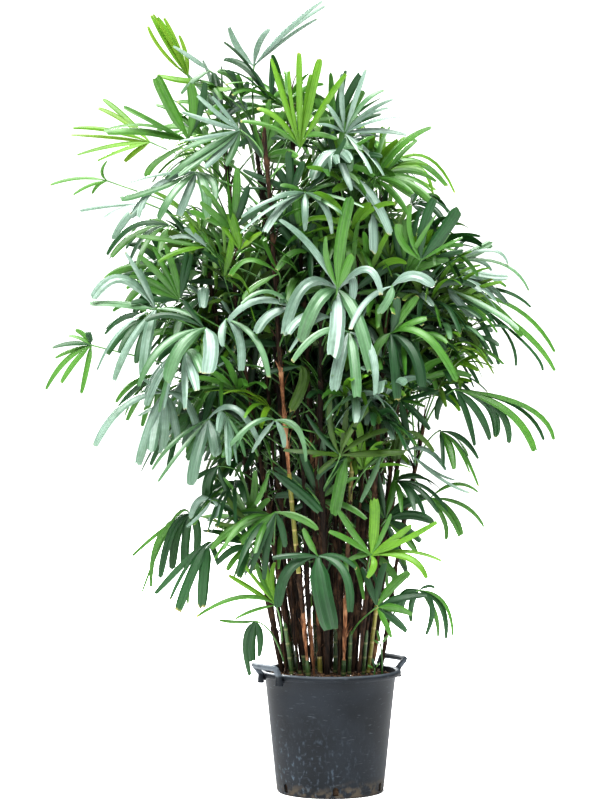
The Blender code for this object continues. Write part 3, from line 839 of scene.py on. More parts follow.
def makeCane(cane, finishes, dice):
    # rings stand close about each joint, and where old leaf bases hold on, ragged sleeves of fibre overlap
    tip = canes[cane][2]
    low = clump["soil"] - 0.004
    ring = clump["ring"]
    heights = [low]
    for n in range(math.ceil((tip - low) / clump["joint"])):
        joint = low + (n + 0.25) * clump["joint"]
        heights += [joint - ring, joint, joint + ring, joint + clump["joint"] / 2]
    heights = [height for height in heights if low <= height < tip] + [tip]
    last = len(heights) - 1
    marks = [(height - low) / clump["joint"] for height in heights]

    def size(n, turn):
        slim = clump["slimInside"] if wornAt(cane, heights[n]) in fibrous else clump["slim"]
        swell = clump["swell"] if abs(marks[n] % 1 - 0.25) < 0.02 else 0.0
        end = 0.3 if n == last else 1.0
        return caneRadius(cane, heights[n]) * slim * (1 + swell) * end

    def finishAt(v):
        return wearOrder.index(wornAt(cane, heights[round(v * last)]))

    work = startWork()
    points = [caneAt(cane, height) for height in heights]
    addTube(work, points, size, clump["sides"], finish=finishAt, marks=marks)
    height = clump["soil"] + dice.uniform(0.0, 0.02)
    while height < tip - 0.02:
        wear = wornAt(cane, height + 0.01)
        if wear in fibrous:
            addSleeve(work, cane, height, wearOrder.index(wear), dice)
        height += clump["sleeve"] * dice.uniform(0.7, 1.3)
    piece = newPiece(cane + "_stem", work, finishes)
    addToPlant(piece, "cane", *([cane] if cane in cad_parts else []))


def addSleeve(work, cane, height, finish, dice):
    # an old leaf base that still clasps the cane, torn along its upper edge
    length = clump["sleeveLength"] * dice.uniform(0.7, 1.25)
    steps = clump["sleeveSteps"]
    hem = [dice.uniform(*clump["hem"]) for _ in range(clump["sides"])]
    opening = dice.uniform(*clump["opening"])
    shift = dice.uniform(0, 50)
    points = [caneAt(cane, height + length * n / steps) for n in range(steps + 1)]

    def size(n, turn):
        rough = noise.noise(Vector((turn * 1.3, n * 0.6, shift))) * 0.0018
        girth = caneRadius(cane, height) * (clump["slimInside"] + 0.04) + 0.0008
        return girth + opening * (n / steps) ** 1.5 + rough - (0.0018 if n == 0 else 0)

    verts = addTube(work, points, size, clump["sides"], finish=finish)
    top = points[-1]
    ahead = (top - points[-2]).normalized()
    for vert in verts:
        if vert.is_valid and (vert.co - top).dot(ahead) > -0.002:
            turn = math.atan2(vert.co.y - top.y, vert.co.x - top.x)
            vert.co += ahead * hem[int((turn + math.pi) / math.tau * (clump["sides"] - 1))]
    for _ in range(clump["hairs"]):
        addHair(work, cane, height + length * dice.uniform(0.4, 1.0), clump["hairSize"], finish, dice)
    for _ in range(clump["flakes"]):
        addHair(work, cane, height + length * dice.uniform(0.2, 0.9), clump["flakeSize"], finish, dice)


def addHair(work, cane, height, sizes, finish, dice):
    # one loose fibre or torn flake, a ribbon that leaves the sleeve and bends off it
    turn = dice.uniform(0, math.tau)
    out = Vector((math.cos(turn), math.sin(turn), 0))
    side = out.cross(up)
    start = caneAt(cane, height) + out * caneRadius(cane, height) * (clump["slimInside"] + 0.10)
    length = dice.uniform(*sizes[0])
    bend = out * dice.uniform(0.1, 0.6) + side * dice.uniform(-0.4, 0.4)
    thick = dice.uniform(*sizes[1])

    def place(u, v):
        return start + up * length * v + bend * length * v * v + side * u * thick * (1 - 0.7 * v)

    addSheet(work, 1, 3, place, finish)


def makeCanes(finishes):
    dice = random.Random(clump["seed"])
    for cane in canes:
        makeCane(cane, finishes, dice)


# Leaves

fan = {
    "hub": 0.006,
    "wide": 0.0225,  # a common leaflet
    "sameTint": 0.72,
    "shownWiden": 1.15,  # for what the fold and the roll take off a leaflet's seen width
    "blunt": 19,  # a shown leaflet that is wider than this, in millimetres, has a blunt end
    "layer": 0.014,  # from one shown leaflet to the next, front to back
    "roll": 24,
    "along": 10,
    "across": 4,
    "front": -0.395,  # no leaf reaches further forward
    "stalk": 0.0019,
    "stalkFoot": 0.0032,
    "stalkSteps": 9,
    "stalkSides": 5,
    "reaches": {"shown": 0.28, "back": 0.30, "front": 0.27},  # how far from a cane they stand, if they can
    "lowest": 0.36,  # no leaf grows lower on a cane
    "seed": 3,
}
tintOrder = list(leafTints)
# a leaf that is a piece of its own has its colour, its stalk's and the one beside its colour
ownSlots = (0, 2)
stalkSlot = 1


def leafWays(aim, toward, lift):
    # as seen from the front: ahead along the leaf's middle, its side, and out of its upper face
    aim, toward, lift = (math.radians(angle) for angle in (aim, toward, lift))
    ahead = Vector((math.cos(aim) * math.cos(toward), -math.sin(toward), math.sin(aim) * math.cos(toward)))
    side = Vector((-math.sin(aim), 0, math.cos(aim)))
    face = ahead.cross(side)
    skyward = 1 if side.z >= 0 else -1
    turned = side * math.cos(lift) - face * math.sin(lift) * skyward
    return ahead, turned, ahead.cross(turned)


def leafletWidth(share, blunt):
    # drawn in at the hub, even along most of it, and narrower again to a cut-off tip, less so if it is blunt
    grow = min(1.0, share / 0.34)
    even = 0.50 + 0.32 * blunt
    shrink = max(0.0, (share - even) / (1 - even))
    return (0.24 + 0.76 * grow * grow * (3 - 2 * grow)) * (1 - (0.62 - 0.34 * blunt) * shrink ** 1.6)


def addBlade(work, line, wide, blunt, turn, finish, dice):
    # pleated, the more so the wider it is, rolled a little about its middle and cut off in teeth
    steps = fan["along"]
    roll = math.radians(dice.gauss(0, turn))
    crease = dice.uniform(0.08, 0.45)
    teeth = [dice.uniform(-0.6, 0.3) for _ in range(fan["across"] + 1)]

    def place(u, v):
        n = round(v * steps)
        point, ahead, side, above = line[n]
        lean = roll * (0.4 + 0.8 * v)
        across = side * math.cos(lean) + above * math.sin(lean)
        above = above * math.cos(lean) - side * math.sin(lean)
        half = wide / 2 * leafletWidth(v, blunt)
        column = round((u + 1) / 2 * fan["across"])
        pleat = (0.15 if column % 2 else -0.06) * min(1.0, wide / 0.030) ** 2
        spot = point + across * u * half + above * half * (pleat - crease * (1.5 - v) * abs(u))
        if n == steps:
            spot += ahead * half * (teeth[column] - 0.35 * abs(u))
        return spot

    return addSheet(work, fan["across"], steps, place, finish, ribbed=True)


def addLeaflet(work, start, way, face, length, droop, wide, finish, dice):
    # it lifts off the hub, bends over and hangs
    steps = fan["along"]
    level = math.hypot(way.x, way.y)
    lift = 0.30 + dice.gauss(0, 0.08)
    sway = way.cross(face) * dice.gauss(0, 0.09)
    points = [start]
    for n in range(steps):
        share = (n + 0.5) / steps
        fall = up * (2.3 * droop * share ** 1.5 * (0.25 + 0.75 * level))
        heading = way + face * lift * (1 - share) ** 2 - fall + sway * share
        points.append(points[-1] + heading.normalized() * (length / steps))
    line = rails(points, way.cross(face).normalized())
    return addBlade(work, line, wide, dice.uniform(0.0, 0.8), fan["roll"], finish, dice)


def keepBack(work, verts):
    # moves a leaf back if it came too far forward; returns by how much
    back = Vector((0, max(0.0, fan["front"] - min(vert.co.y for vert in verts)), 0))
    bmesh.ops.translate(work, verts=verts, vec=back)
    return back


# a leaflet takes its leaf's colour, or at random the green beside it, which paints other light and shade on
# it
def oneOf(finishes, dice):
    return finishes[0] if dice.random() < fan["sameTint"] else finishes[1]


def addFan(work, hub, ways, leaf, finishes, dice):
    # the leaflets of one leaf, spread about its hub; returns the hub, which keepBack may have moved
    ahead, side, face = ways
    count = leaf["leaflets"]
    verts = []
    for n in range(count):
        out = 2 * n / (count - 1) - 1
        angle = math.radians(leaf["spread"] / 2 * out + dice.gauss(0, 4))
        length = leaf["length"] * ((1 - 0.22 * abs(out)) * dice.uniform(0.84, 1.10))
        way = ahead * math.cos(angle) + side * math.sin(angle)
        way = (way + face * dice.gauss(0, 0.13)).normalized()
        wide = fan["wide"] * leaf["wide"] * dice.uniform(0.75, 1.25) * (1 - 0.15 * abs(out))
        droop = leaf["droop"] * dice.uniform(0.65, 1.4)
        start = hub + way * fan["hub"]
        verts += addLeaflet(work, start, way, face, length, droop, wide, oneOf(finishes, dice), dice)
    return hub + keepBack(work, verts)


def addShown(work, leaf, finishes, dice):
    # a leaf by its hub and its leaflets' tips as the picture shows them; returns its hub and its way ahead
    leaf = commonLeaf | leaf
    tilt = math.radians(leaf["tilt"])
    facing = Vector((0, -math.cos(tilt), math.sin(tilt)))
    hub = placeAt(leaf["hub"], leaf["depth"])
    steps = fan["along"]
    verts = []
    ahead = up * 0.001
    for order, (bendX, bendY, tipX, tipY, width) in enumerate(leaf["tips"]):
        reach = (placeAt((tipX, tipY), leaf["depth"]) - hub).length
        forward = leaf["forward"] * reach + fan["layer"] * (order % 3 - 1)
        end = placeAt((tipX, tipY), leaf["depth"] - forward * dice.uniform(0.7, 1.3))
        knee = placeAt((bendX, bendY), leaf["depth"] - forward * dice.uniform(0.5, 0.9))
        bend = knee * 2 - (hub + end) / 2
        points = []
        for n in range(steps + 1):
            share = n / steps
            points.append(hub * (1 - share) ** 2 + bend * 2 * share * (1 - share) + end * share ** 2)
        line = []
        for point, way in zip(points, headings(points)):
            side = way.cross(facing).normalized()
            line.append((point, way, side, side.cross(way)))
        ahead += line[1][1]
        blunt = 1.0 if width > fan["blunt"] else dice.uniform(0.1, 0.8)
        wide = width / 1000 * fan["shownWiden"]
        verts += addBlade(work, line, wide, blunt, leaf["turn"], oneOf(finishes, dice), dice)
    return hub + keepBack(work, verts), ahead.normalized()


def addStalk(work, hub, ahead, foot, finish):
    # it leaves the cane upwards and bends over to the way its leaf goes
    way = hub - foot
    reach = way.length
    leave = (way.normalized() + up * 0.7).normalized()
    arrive = (way.normalized() + ahead * 0.6).normalized()
    high = hub - arrive * reach * 0.33
    low = foot + leave * reach * 0.33
    points = [hub + ahead * 0.006]
    for n in range(fan["stalkSteps"] + 1):
        share = n / fan["stalkSteps"]
        points.append(hub * (1 - share) ** 3 + high * 3 * share * (1 - share) ** 2
                      + low * 3 * share ** 2 * (1 - share) + foot * share ** 3)

    def size(n, turn):
        radius = between((fan["stalk"], fan["stalkFoot"]), n / (len(points) - 1))
        return radius * {0: 0.35, 1: 1.35}.get(n, 1)

    addTube(work, points, size, fan["stalkSides"], finish=finish)


def addLooseStalk(stalks, hub, ahead, foot):
    work = startWork()
    addStalk(work, hub, ahead, foot, 0)
    pour(work, stalks)


def holdFor(hub, reach):
    # the place on a cane that a leaf with its hub here would grow from: near, and well below it
    holds = []
    for cane in canes:
        heights = [canes[cane][2] - 0.01 - 0.05 * n for n in range(16)]
        holds += [caneAt(cane, height) for height in heights if height >= fan["lowest"]]

    def cost(hold):
        way = hub - hold
        far = max(0, way.length - reach) + 2 * max(0, 0.12 - way.length) + 0.1 * way.length
        return far + 0.3 * max(0, 0.5 - way.z / way.length)

    return min(holds, key=cost)


# the columns of the tables of leaves: where the eye sees the hub and how deep it lies, in metres, which way
# the leaf aims, how far it comes toward the eye and how far its near side is lifted, in degrees, then its
# leaflets
leafColumns = ("across", "height", "depth", "aim", "toward", "lift", "leaflets", "length", "spread", "droop",
               "tint")

# the leaves at the back that are nodes of their own
backLeaves = {
    "leaf_back_high": (-0.050, 1.760, 0.32, 90, -50, 60, 7, 0.220, 150, 0.50, "mid"),
    "leaf_back_right": (0.220, 1.430, 0.34, 20, -45, 60, 7, 0.220, 140, 0.60, "mid"),
    "leaf_back_left": (-0.400, 1.410, 0.36, 160, -45, 60, 7, 0.220, 140, 0.60, "mid"),
    "leaf_back_low": (-0.040, 0.900, 0.30, 10, -60, 60, 7, 0.210, 140, 0.80, "mid"),
}

# the leaves that the picture shows one by one: where the hub is in it, and each leaflet as the place where
# it bends, the place of its tip and its width in millimetres; unless it says otherwise, a leaf comes
# forward by this share of its length, and leans back and rolls its leaflets by so many degrees
commonLeaf = {"forward": 0.2, "tilt": 26, "turn": 12}
shownLeaves = {
    "leaf_top": {"hub": (254, 66), "depth": 0.0, "tint": "pale", "forward": 0.1, "tips": [
        (239, 49, 229, 27, 17), (259, 43, 270, 29, 15), (285, 31, 322, 1, 15), (288, 31, 325, 6, 10),
        (285, 39, 317, 19, 9)]},
    "leaf_top_left": {"hub": (188, 76), "depth": 0.03, "tint": "fresh", "forward": 0.1, "tips": [
        (162, 50, 148, 26, 10), (168, 44, 151, 15, 14), (174, 44, 157, 17, 14), (177, 45, 164, 18, 11),
        (186, 55, 179, 35, 10), (172, 44, 153, 14, 10)]},
    "leaf_left_crest": {"hub": (190, 142), "depth": -0.17, "tint": "mid", "tilt": 45, "tips": [
        (150, 131, 104, 132, 24), (155, 122, 123, 106, 20), (150, 125, 104, 130, 10),
        (158, 160, 146, 178, 18)]},
    "leaf_left_high": {"hub": (150, 142), "depth": 0.12, "tint": "fresh", "forward": -0.1, "tips": [
        (123, 115, 103, 99, 15), (123, 120, 98, 108, 14), (110, 130, 73, 128, 12), (112, 137, 71, 135, 11),
        (115, 145, 77, 155, 13), (123, 149, 97, 161, 15), (137, 150, 124, 162, 14)]},
    "leaf_left_tip": {"hub": (108, 181), "depth": 0.06, "tint": "mid", "forward": 0.0, "tips": [
        (80, 178, 50, 185, 9), (90, 185, 73, 195, 9), (102, 172, 107, 161, 8), (99, 184, 92, 194, 9)]},
    "leaf_left_fall": {"hub": (146, 203), "depth": -0.16, "tint": "pale", "forward": 0.1, "tips": [
        (108, 206, 80, 211, 9), (122, 208, 103, 218, 9), (130, 214, 113, 239, 18), (140, 208, 131, 218, 14)]},
    "leaf_crest": {"hub": (300, 148), "depth": -0.22, "tint": "lively", "tips": [
        (283, 95, 271, 58, 14), (291, 100, 289, 71, 9), (299, 90, 299, 52, 15), (307, 100, 311, 74, 16),
        (311, 95, 320, 58, 20), (325, 103, 346, 74, 16), (280, 120, 257, 108, 14), (275, 128, 240, 121, 12)]},
    "leaf_star_right": {"hub": (345, 133), "depth": -0.25, "tint": "pale", "forward": 0.3, "tips": [
        (342, 100, 342, 73, 13), (355, 100, 366, 69, 13), (362, 104, 384, 90, 12), (366, 113, 393, 99, 11),
        (366, 115, 389, 108, 14), (370, 121, 403, 117, 13), (375, 130, 407, 135, 15),
        (368, 152, 384, 176, 12), (362, 155, 372, 174, 10), (350, 152, 350, 172, 18),
        (338, 120, 327, 104, 12), (332, 126, 318, 124, 10)]},
    "leaf_right_arc": {"hub": (378, 173), "depth": 0.06, "tint": "lively", "forward": 0.0, "tips": [
        (422, 155, 455, 193, 10), (412, 160, 447, 186, 18), (416, 166, 433, 194, 12),
        (386, 158, 390, 146, 14), (402, 190, 424, 204, 12), (406, 176, 436, 190, 12)]},
    "leaf_right_high": {"hub": (421, 260), "depth": -0.28, "tint": "mid", "forward": 0.1, "tips": [
        (442, 233, 459, 207, 30), (423, 228, 435, 197, 22), (402, 240, 400, 222, 20),
        (437, 247, 449, 232, 14), (410, 232, 411, 205, 12), (445, 245, 463, 237, 12)]},
    "leaf_right_upper": {"hub": (447, 262), "depth": 0.0, "tint": "pale", "forward": 0.1, "tips": [
        (470, 254, 493, 242, 24), (478, 274, 508, 277, 20), (464, 240, 478, 242, 10),
        (475, 259, 492, 271, 14), (500, 263, 529, 291, 8), (490, 250, 508, 265, 10)]},
    "leaf_right_far": {"hub": (458, 290), "depth": 0.04, "tint": "mid", "forward": 0.0, "tilt": 45, "tips": [
        (517, 308, 555, 352, 16), (520, 328, 555, 371, 16), (490, 302, 522, 336, 22),
        (500, 289, 531, 307, 14), (483, 277, 507, 287, 18), (522, 340, 543, 371, 10), (503, 328, 516, 366, 9),
        (484, 326, 499, 365, 14)]},
    "leaf_right_low": {
        "hub": (455, 389), "depth": -0.05, "tint": "deep", "forward": 0.0, "tilt": 30, "tips": [
        (441, 399, 437, 420, 18), (466, 410, 475, 446, 18), (477, 410, 490, 440, 18),
        (488, 404, 496, 437, 22), (497, 408, 509, 443, 17), (508, 411, 535, 452, 20),
        (515, 405, 544, 440, 12), (526, 406, 554, 440, 14)]},
    "leaf_right_foot": {"hub": (430, 498), "depth": 0.03, "tint": "mid", "forward": 0.0, "tips": [
        (450, 512, 462, 537, 27), (463, 505, 484, 527, 10), (455, 484, 478, 492, 9), (444, 520, 446, 540, 12),
        (410, 503, 395, 515, 9)]},
    "leaf_low_right": {"hub": (419, 590), "depth": -0.04, "tint": "deep", "forward": 0.0, "tips": [
        (412, 602, 411, 622, 15), (404, 596, 400, 613, 24), (432, 606, 426, 635, 14),
        (434, 611, 438, 637, 12), (441, 605, 446, 639, 16), (444, 602, 453, 636, 10),
        (428, 586, 435, 588, 8)]},
    "leaf_low_star": {"hub": (371, 555), "depth": -0.2, "tint": "lively", "forward": 0.2, "tips": [
        (374, 525, 374, 498, 25), (355, 535, 338, 510, 16), (349, 540, 328, 531, 16),
        (382, 535, 391, 514, 12), (392, 540, 412, 525, 15), (402, 541, 437, 522, 15),
        (408, 551, 442, 561, 10), (408, 557, 427, 579, 18), (374, 565, 367, 578, 16),
        (358, 556, 346, 562, 13), (386, 546, 400, 540, 14)]},
    "leaf_front_low": {"hub": (318, 556), "depth": -0.24, "tint": "deep", "forward": 0.2, "turn": 6, "tips": [
        (289, 569, 278, 608, 25), (322, 590, 332, 633, 47), (344, 571, 350, 613, 20),
        (339, 556, 357, 569, 14), (296, 555, 272, 558, 14), (310, 542, 303, 528, 16)]},
    "leaf_sprout": {"hub": (276, 605), "depth": -0.1, "tint": "lively", "forward": 0.1, "tips": [
        (268, 580, 265, 559, 14), (263, 582, 256, 562, 12), (256, 580, 237, 556, 9), (250, 588, 228, 575, 12),
        (240, 597, 196, 617, 12), (254, 610, 235, 619, 9), (272, 580, 275, 562, 12)]},
    "leaf_low_fall": {"hub": (256, 621), "depth": -0.1, "tint": "mid", "forward": 0.0, "tips": [
        (246, 640, 250, 676, 16), (252, 640, 253, 662, 20), (260, 636, 259, 657, 16),
        (238, 622, 219, 620, 10)]},
    "leaf_low_left": {"hub": (208, 542), "depth": -0.12, "tint": "deep", "forward": 0.1, "tilt": 20, "tips": [
        (184, 563, 155, 594, 16), (188, 565, 170, 600, 9), (193, 570, 177, 613, 24), (192, 575, 188, 604, 10),
        (205, 570, 202, 609, 28), (214, 550, 217, 563, 14)]},
    "leaf_low_left_outer": {"hub": (190, 514), "depth": 0.06, "tint": "deep", "forward": -0.05, "tips": [
        (165, 528, 132, 556, 9), (160, 537, 151, 587, 15), (172, 530, 160, 578, 24), (178, 530, 172, 570, 22),
        (186, 535, 184, 568, 22), (197, 530, 195, 560, 22), (172, 522, 142, 592, 9)]},
    "leaf_left_low": {"hub": (164, 392), "depth": -0.22, "tint": "pale", "forward": 0.2, "tilt": 25, "tips": [
        (124, 405, 94, 447, 20), (151, 422, 138, 465, 22), (156, 420, 151, 452, 27), (172, 412, 178, 443, 20),
        (187, 402, 200, 441, 20), (150, 383, 141, 377, 10), (148, 393, 129, 399, 10),
        (165, 420, 162, 450, 22)]},
    "leaf_left_small": {"hub": (91, 345), "depth": 0.02, "tint": "mid", "forward": 0.0, "tips": [
        (84, 335, 75, 330, 12), (80, 338, 68, 336, 10), (72, 343, 52, 348, 13), (72, 350, 55, 358, 12),
        (66, 360, 46, 389, 14), (75, 361, 61, 383, 14), (87, 365, 81, 394, 15), (88, 333, 92, 342, 13)]},
    "leaf_left_mid": {
        "hub": (156, 309), "depth": -0.27, "tint": "pale", "forward": 0.15, "tilt": 35, "tips": [
        (120, 303, 88, 303, 24), (122, 278, 92, 299, 25), (142, 280, 125, 252, 12), (122, 328, 97, 370, 10),
        (131, 341, 114, 381, 17), (148, 335, 143, 377, 25), (176, 309, 196, 318, 14),
        (147, 285, 140, 268, 12)]},
    "fan_pair": {"hub": (210, 71), "depth": -0.06, "tint": "pale", "tips": [
        (192, 58, 173, 46, 13), (195, 79, 181, 94, 13)]},
    "fan_dark_small": {"hub": (241, 97), "depth": -0.05, "tint": "deep", "tips": [
        (232, 77, 217, 71, 16), (237, 80, 226, 70, 14), (241, 85, 237, 74, 14), (245, 89, 248, 81, 15),
        (252, 88, 262, 84, 12)]},
    "fan_upright": {"hub": (188, 138), "depth": -0.12, "tint": "mid", "tips": [
        (170, 105, 156, 76, 28), (193, 112, 190, 84, 26), (200, 110, 205, 82, 18)]},
    "fan_bent": {"hub": (200, 80), "depth": -0.07, "tint": "lively", "tips": [
        (180, 79, 157, 75, 18), (215, 88, 232, 88, 16), (213, 86, 222, 100, 14)]},
    "fan_pale_upper": {"hub": (240, 130), "depth": -0.2, "tint": "pale", "forward": 0.4, "tips": [
        (220, 115, 197, 95, 13), (212, 122, 182, 112, 13), (205, 140, 185, 149, 14), (200, 152, 162, 182, 16),
        (212, 150, 178, 176, 18), (222, 150, 204, 168, 18), (234, 148, 226, 166, 18), (222, 108, 212, 96, 12),
        (215, 135, 180, 141, 10)]},
    "fan_pale_left": {"hub": (196, 172), "depth": -0.24, "tint": "pale", "forward": 0.4, "tips": [
        (162, 180, 130, 214, 17), (156, 186, 138, 218, 14), (175, 190, 158, 219, 20),
        (188, 192, 178, 217, 20), (205, 190, 206, 219, 24), (160, 174, 126, 184, 10),
        (213, 182, 214, 205, 18), (150, 190, 120, 199, 20)]},
    "fan_dark_star": {"hub": (291, 191), "depth": -0.22, "tint": "deep", "tips": [
        (283, 178, 275, 168, 20), (290, 170, 289, 150, 20), (274, 183, 262, 180, 16),
        (266, 180, 243, 170, 16), (262, 188, 240, 189, 7), (298, 175, 303, 160, 18)]},
    "fan_star_high": {"hub": (305, 192), "depth": -0.3, "tint": "pale", "forward": 0.5, "turn": 8, "tips": [
        (283, 205, 264, 233, 20), (270, 208, 240, 233, 10), (272, 199, 241, 217, 9), (305, 208, 305, 231, 17),
        (324, 205, 332, 234, 15), (328, 203, 347, 217, 10), (335, 196, 364, 207, 9),
        (290, 192, 274, 196, 12)]},
    "fan_star_up": {"hub": (305, 193), "depth": -0.28, "tint": "mid", "tips": [
        (327, 168, 346, 138, 15), (322, 186, 335, 184, 10), (290, 186, 280, 186, 12)]},
    "fan_white_high": {"hub": (337, 150), "depth": -0.26, "tint": "pale", "forward": 0.5, "turn": 6, "tips": [
        (323, 158, 312, 180, 27), (345, 172, 352, 191, 17)]},
    "fan_white_right": {"hub": (342, 178), "depth": -0.26, "tint": "pale", "forward": 0.3, "tips": [
        (368, 190, 391, 234, 22), (360, 188, 372, 205, 14)]},
    "fan_hang_right": {"hub": (373, 213), "depth": -0.26, "tint": "pale", "forward": 0.3, "tips": [
        (374, 232, 374, 254, 24)]},
    "fan_front_up": {"hub": (338, 288), "depth": -0.34, "tint": "mid", "tips": [
        (341, 240, 351, 196, 27), (327, 260, 326, 236, 14), (346, 268, 352, 254, 20)]},
    "fan_front_pale": {"hub": (337, 288), "depth": -0.335, "tint": "pale", "tips": [
        (311, 246, 279, 219, 19)]},
    "fan_front_fall": {
        "hub": (338, 289), "depth": -0.335, "tint": "pale", "forward": 0.35, "turn": 6, "tilt": 20, "tips": [
        (305, 284, 284, 336, 26), (318, 300, 301, 341, 32), (338, 322, 333, 358, 37),
        (357, 315, 373, 373, 31), (352, 278, 352, 301, 20), (367, 268, 382, 295, 18)]},
    "fan_second_fall": {
        "hub": (349, 332), "depth": -0.325, "tint": "pale", "forward": 0.35, "turn": 6, "tilt": 20, "tips": [
        (340, 358, 334, 392, 28), (354, 358, 357, 398, 25), (320, 333, 292, 362, 16),
        (371, 350, 375, 395, 18)]},
    "fan_third_fall": {"hub": (332, 318), "depth": -0.31, "tint": "pale", "forward": 0.3, "turn": 8, "tips": [
        (312, 322, 289, 352, 14), (305, 316, 287, 335, 22)]},
    "fan_pale_right": {"hub": (392, 286), "depth": -0.3, "tint": "pale", "forward": 0.3, "turn": 8, "tips": [
        (389, 298, 378, 314, 20), (367, 300, 350, 330, 15), (412, 275, 434, 286, 26)]},
    "fan_pale_far": {"hub": (448, 288), "depth": -0.12, "tint": "pale", "forward": 0.2, "turn": 8, "tips": [
        (458, 300, 474, 318, 20), (425, 272, 400, 280, 12), (492, 310, 519, 330, 14)]},
    "fan_dark_right": {"hub": (391, 333), "depth": -0.27, "tint": "deep", "forward": 0.3, "tips": [
        (395, 362, 398, 401, 24), (413, 350, 422, 388, 26), (425, 335, 457, 381, 20),
        (380, 342, 374, 358, 20), (396, 315, 397, 297, 20), (412, 322, 428, 318, 18),
        (405, 312, 418, 296, 18)]},
    "fan_arc_dark": {"hub": (438, 302), "depth": -0.05, "tint": "olive", "forward": 0.1, "tips": [
        (462, 318, 475, 352, 18), (463, 322, 486, 358, 20), (450, 325, 460, 344, 10),
        (415, 305, 396, 318, 20)]},
    "fan_low_dark_right": {"hub": (400, 400), "depth": -0.12, "tint": "deep", "forward": 0.2, "tips": [
        (412, 375, 418, 352, 14), (420, 395, 440, 390, 14), (415, 412, 430, 430, 16),
        (405, 420, 408, 445, 18), (385, 415, 380, 440, 18)]},
    "fan_pale_middle": {
        "hub": (292, 308), "depth": -0.32, "tint": "pale", "forward": 0.2, "turn": 8, "tips": [
        (258, 300, 228, 321, 17), (270, 314, 256, 334, 23), (268, 291, 241, 304, 11)]},
    "fan_left_fall": {
        "hub": (205, 328), "depth": -0.3, "tint": "pale", "forward": 0.35, "turn": 6, "tilt": 20, "tips": [
        (164, 345, 138, 387, 18), (181, 346, 167, 383, 30), (211, 345, 207, 375, 36)]},
    "fan_left_green": {"hub": (205, 328), "depth": -0.29, "tint": "mid", "tips": [
        (172, 315, 145, 321, 15), (192, 312, 183, 300, 12), (190, 345, 179, 358, 8)]},
    "fan_left_second": {
        "hub": (226, 319), "depth": -0.29, "tint": "pale", "forward": 0.3, "turn": 8, "tips": [
        (239, 336, 241, 372, 20), (255, 338, 269, 378, 15), (222, 332, 223, 347, 18)]},
    "fan_left_lower": {"hub": (208, 419), "depth": -0.24, "tint": "pale", "forward": 0.3, "turn": 8, "tips": [
        (198, 450, 191, 485, 28), (214, 438, 216, 457, 28), (181, 450, 158, 482, 9), (235, 408, 260, 445, 16),
        (176, 440, 152, 470, 10)]},
    "fan_teal": {"hub": (275, 420), "depth": -0.29, "tint": "pale", "forward": 0.2, "tips": [
        (297, 428, 306, 462, 14), (282, 432, 284, 448, 14), (252, 424, 222, 456, 13),
        (262, 436, 252, 453, 12)]},
    "fan_star_olive": {"hub": (340, 455), "depth": -0.22, "tint": "olive", "forward": 0.2, "tips": [
        (330, 425, 331, 392, 14), (322, 436, 306, 414, 13), (352, 428, 369, 409, 14),
        (365, 437, 389, 430, 14), (372, 453, 405, 452, 19), (312, 452, 283, 450, 14),
        (345, 425, 347, 398, 13), (325, 466, 318, 474, 14)]},
    "fan_hang_olive": {"hub": (407, 431), "depth": -0.18, "tint": "olive", "forward": 0.1, "tips": [
        (398, 440, 396, 462, 26), (420, 436, 434, 452, 12)]},
    "fan_hang_dark": {"hub": (346, 458), "depth": -0.2, "tint": "deep", "forward": 0.1, "turn": 6, "tips": [
        (340, 485, 334, 516, 28), (324, 470, 318, 480, 12)]},
    "fan_slant_dark": {"hub": (270, 470), "depth": -0.2, "tint": "deep", "forward": 0.1, "tips": [
        (298, 490, 322, 513, 25), (262, 492, 255, 505, 12)]},
    "fan_slant_pale": {"hub": (381, 456), "depth": -0.18, "tint": "pale", "forward": 0.1, "tips": [
        (372, 478, 360, 503, 14)]},
    "fan_low_broad": {"hub": (276, 512), "depth": -0.2, "tint": "deep", "forward": 0.1, "tilt": 20, "tips": [
        (258, 527, 240, 544, 26), (300, 518, 318, 530, 18), (262, 540, 250, 574, 16),
        (268, 545, 264, 580, 14), (282, 530, 285, 548, 16)]},
    "fan_low_slant": {"hub": (250, 522), "depth": -0.16, "tint": "olive", "forward": 0.0, "tips": [
        (232, 531, 212, 549, 16), (236, 510, 226, 496, 12), (228, 525, 214, 519, 9)]},
    "fan_low_hang": {"hub": (218, 466), "depth": -0.14, "tint": "deep", "forward": 0.0, "tips": [
        (209, 480, 208, 503, 26), (225, 485, 240, 520, 14), (200, 475, 196, 480, 12)]},
    "fan_small_pale": {"hub": (212, 500), "depth": -0.16, "tint": "pale", "forward": 0.1, "tips": [
        (199, 500, 190, 519, 16), (218, 510, 207, 521, 14), (200, 515, 186, 527, 8)]},
    "fan_left_lively": {"hub": (207, 247), "depth": -0.22, "tint": "lively", "tips": [
        (170, 240, 136, 236, 15), (195, 232, 190, 222, 12), (182, 250, 158, 262, 13)]},
    "fan_left_streaked": {"hub": (207, 247), "depth": -0.225, "tint": "pale", "tips": [
        (188, 236, 165, 240, 14), (196, 236, 184, 228, 12)]},
    "fan_fresh_high": {"hub": (240, 250), "depth": -0.24, "tint": "fresh", "tips": [
        (225, 228, 207, 204, 13), (236, 232, 229, 212, 22), (250, 240, 262, 232, 12)]},
    "fan_gloss": {"hub": (279, 273), "depth": -0.27, "tint": "mid", "tilt": 55, "tips": [
        (250, 258, 229, 276, 22), (255, 285, 243, 300, 18), (268, 250, 263, 236, 16)]},
    "fan_wide_low": {"hub": (300, 366), "depth": -0.2, "tint": "olive", "forward": 0.0, "tips": [
        (280, 369, 262, 374, 15), (304, 380, 290, 412, 26)]},
    "fan_right_small": {"hub": (407, 450), "depth": -0.1, "tint": "pale", "forward": 0.0, "tips": [
        (428, 450, 446, 470, 14), (432, 470, 455, 480, 7), (440, 478, 470, 493, 8)]},
}

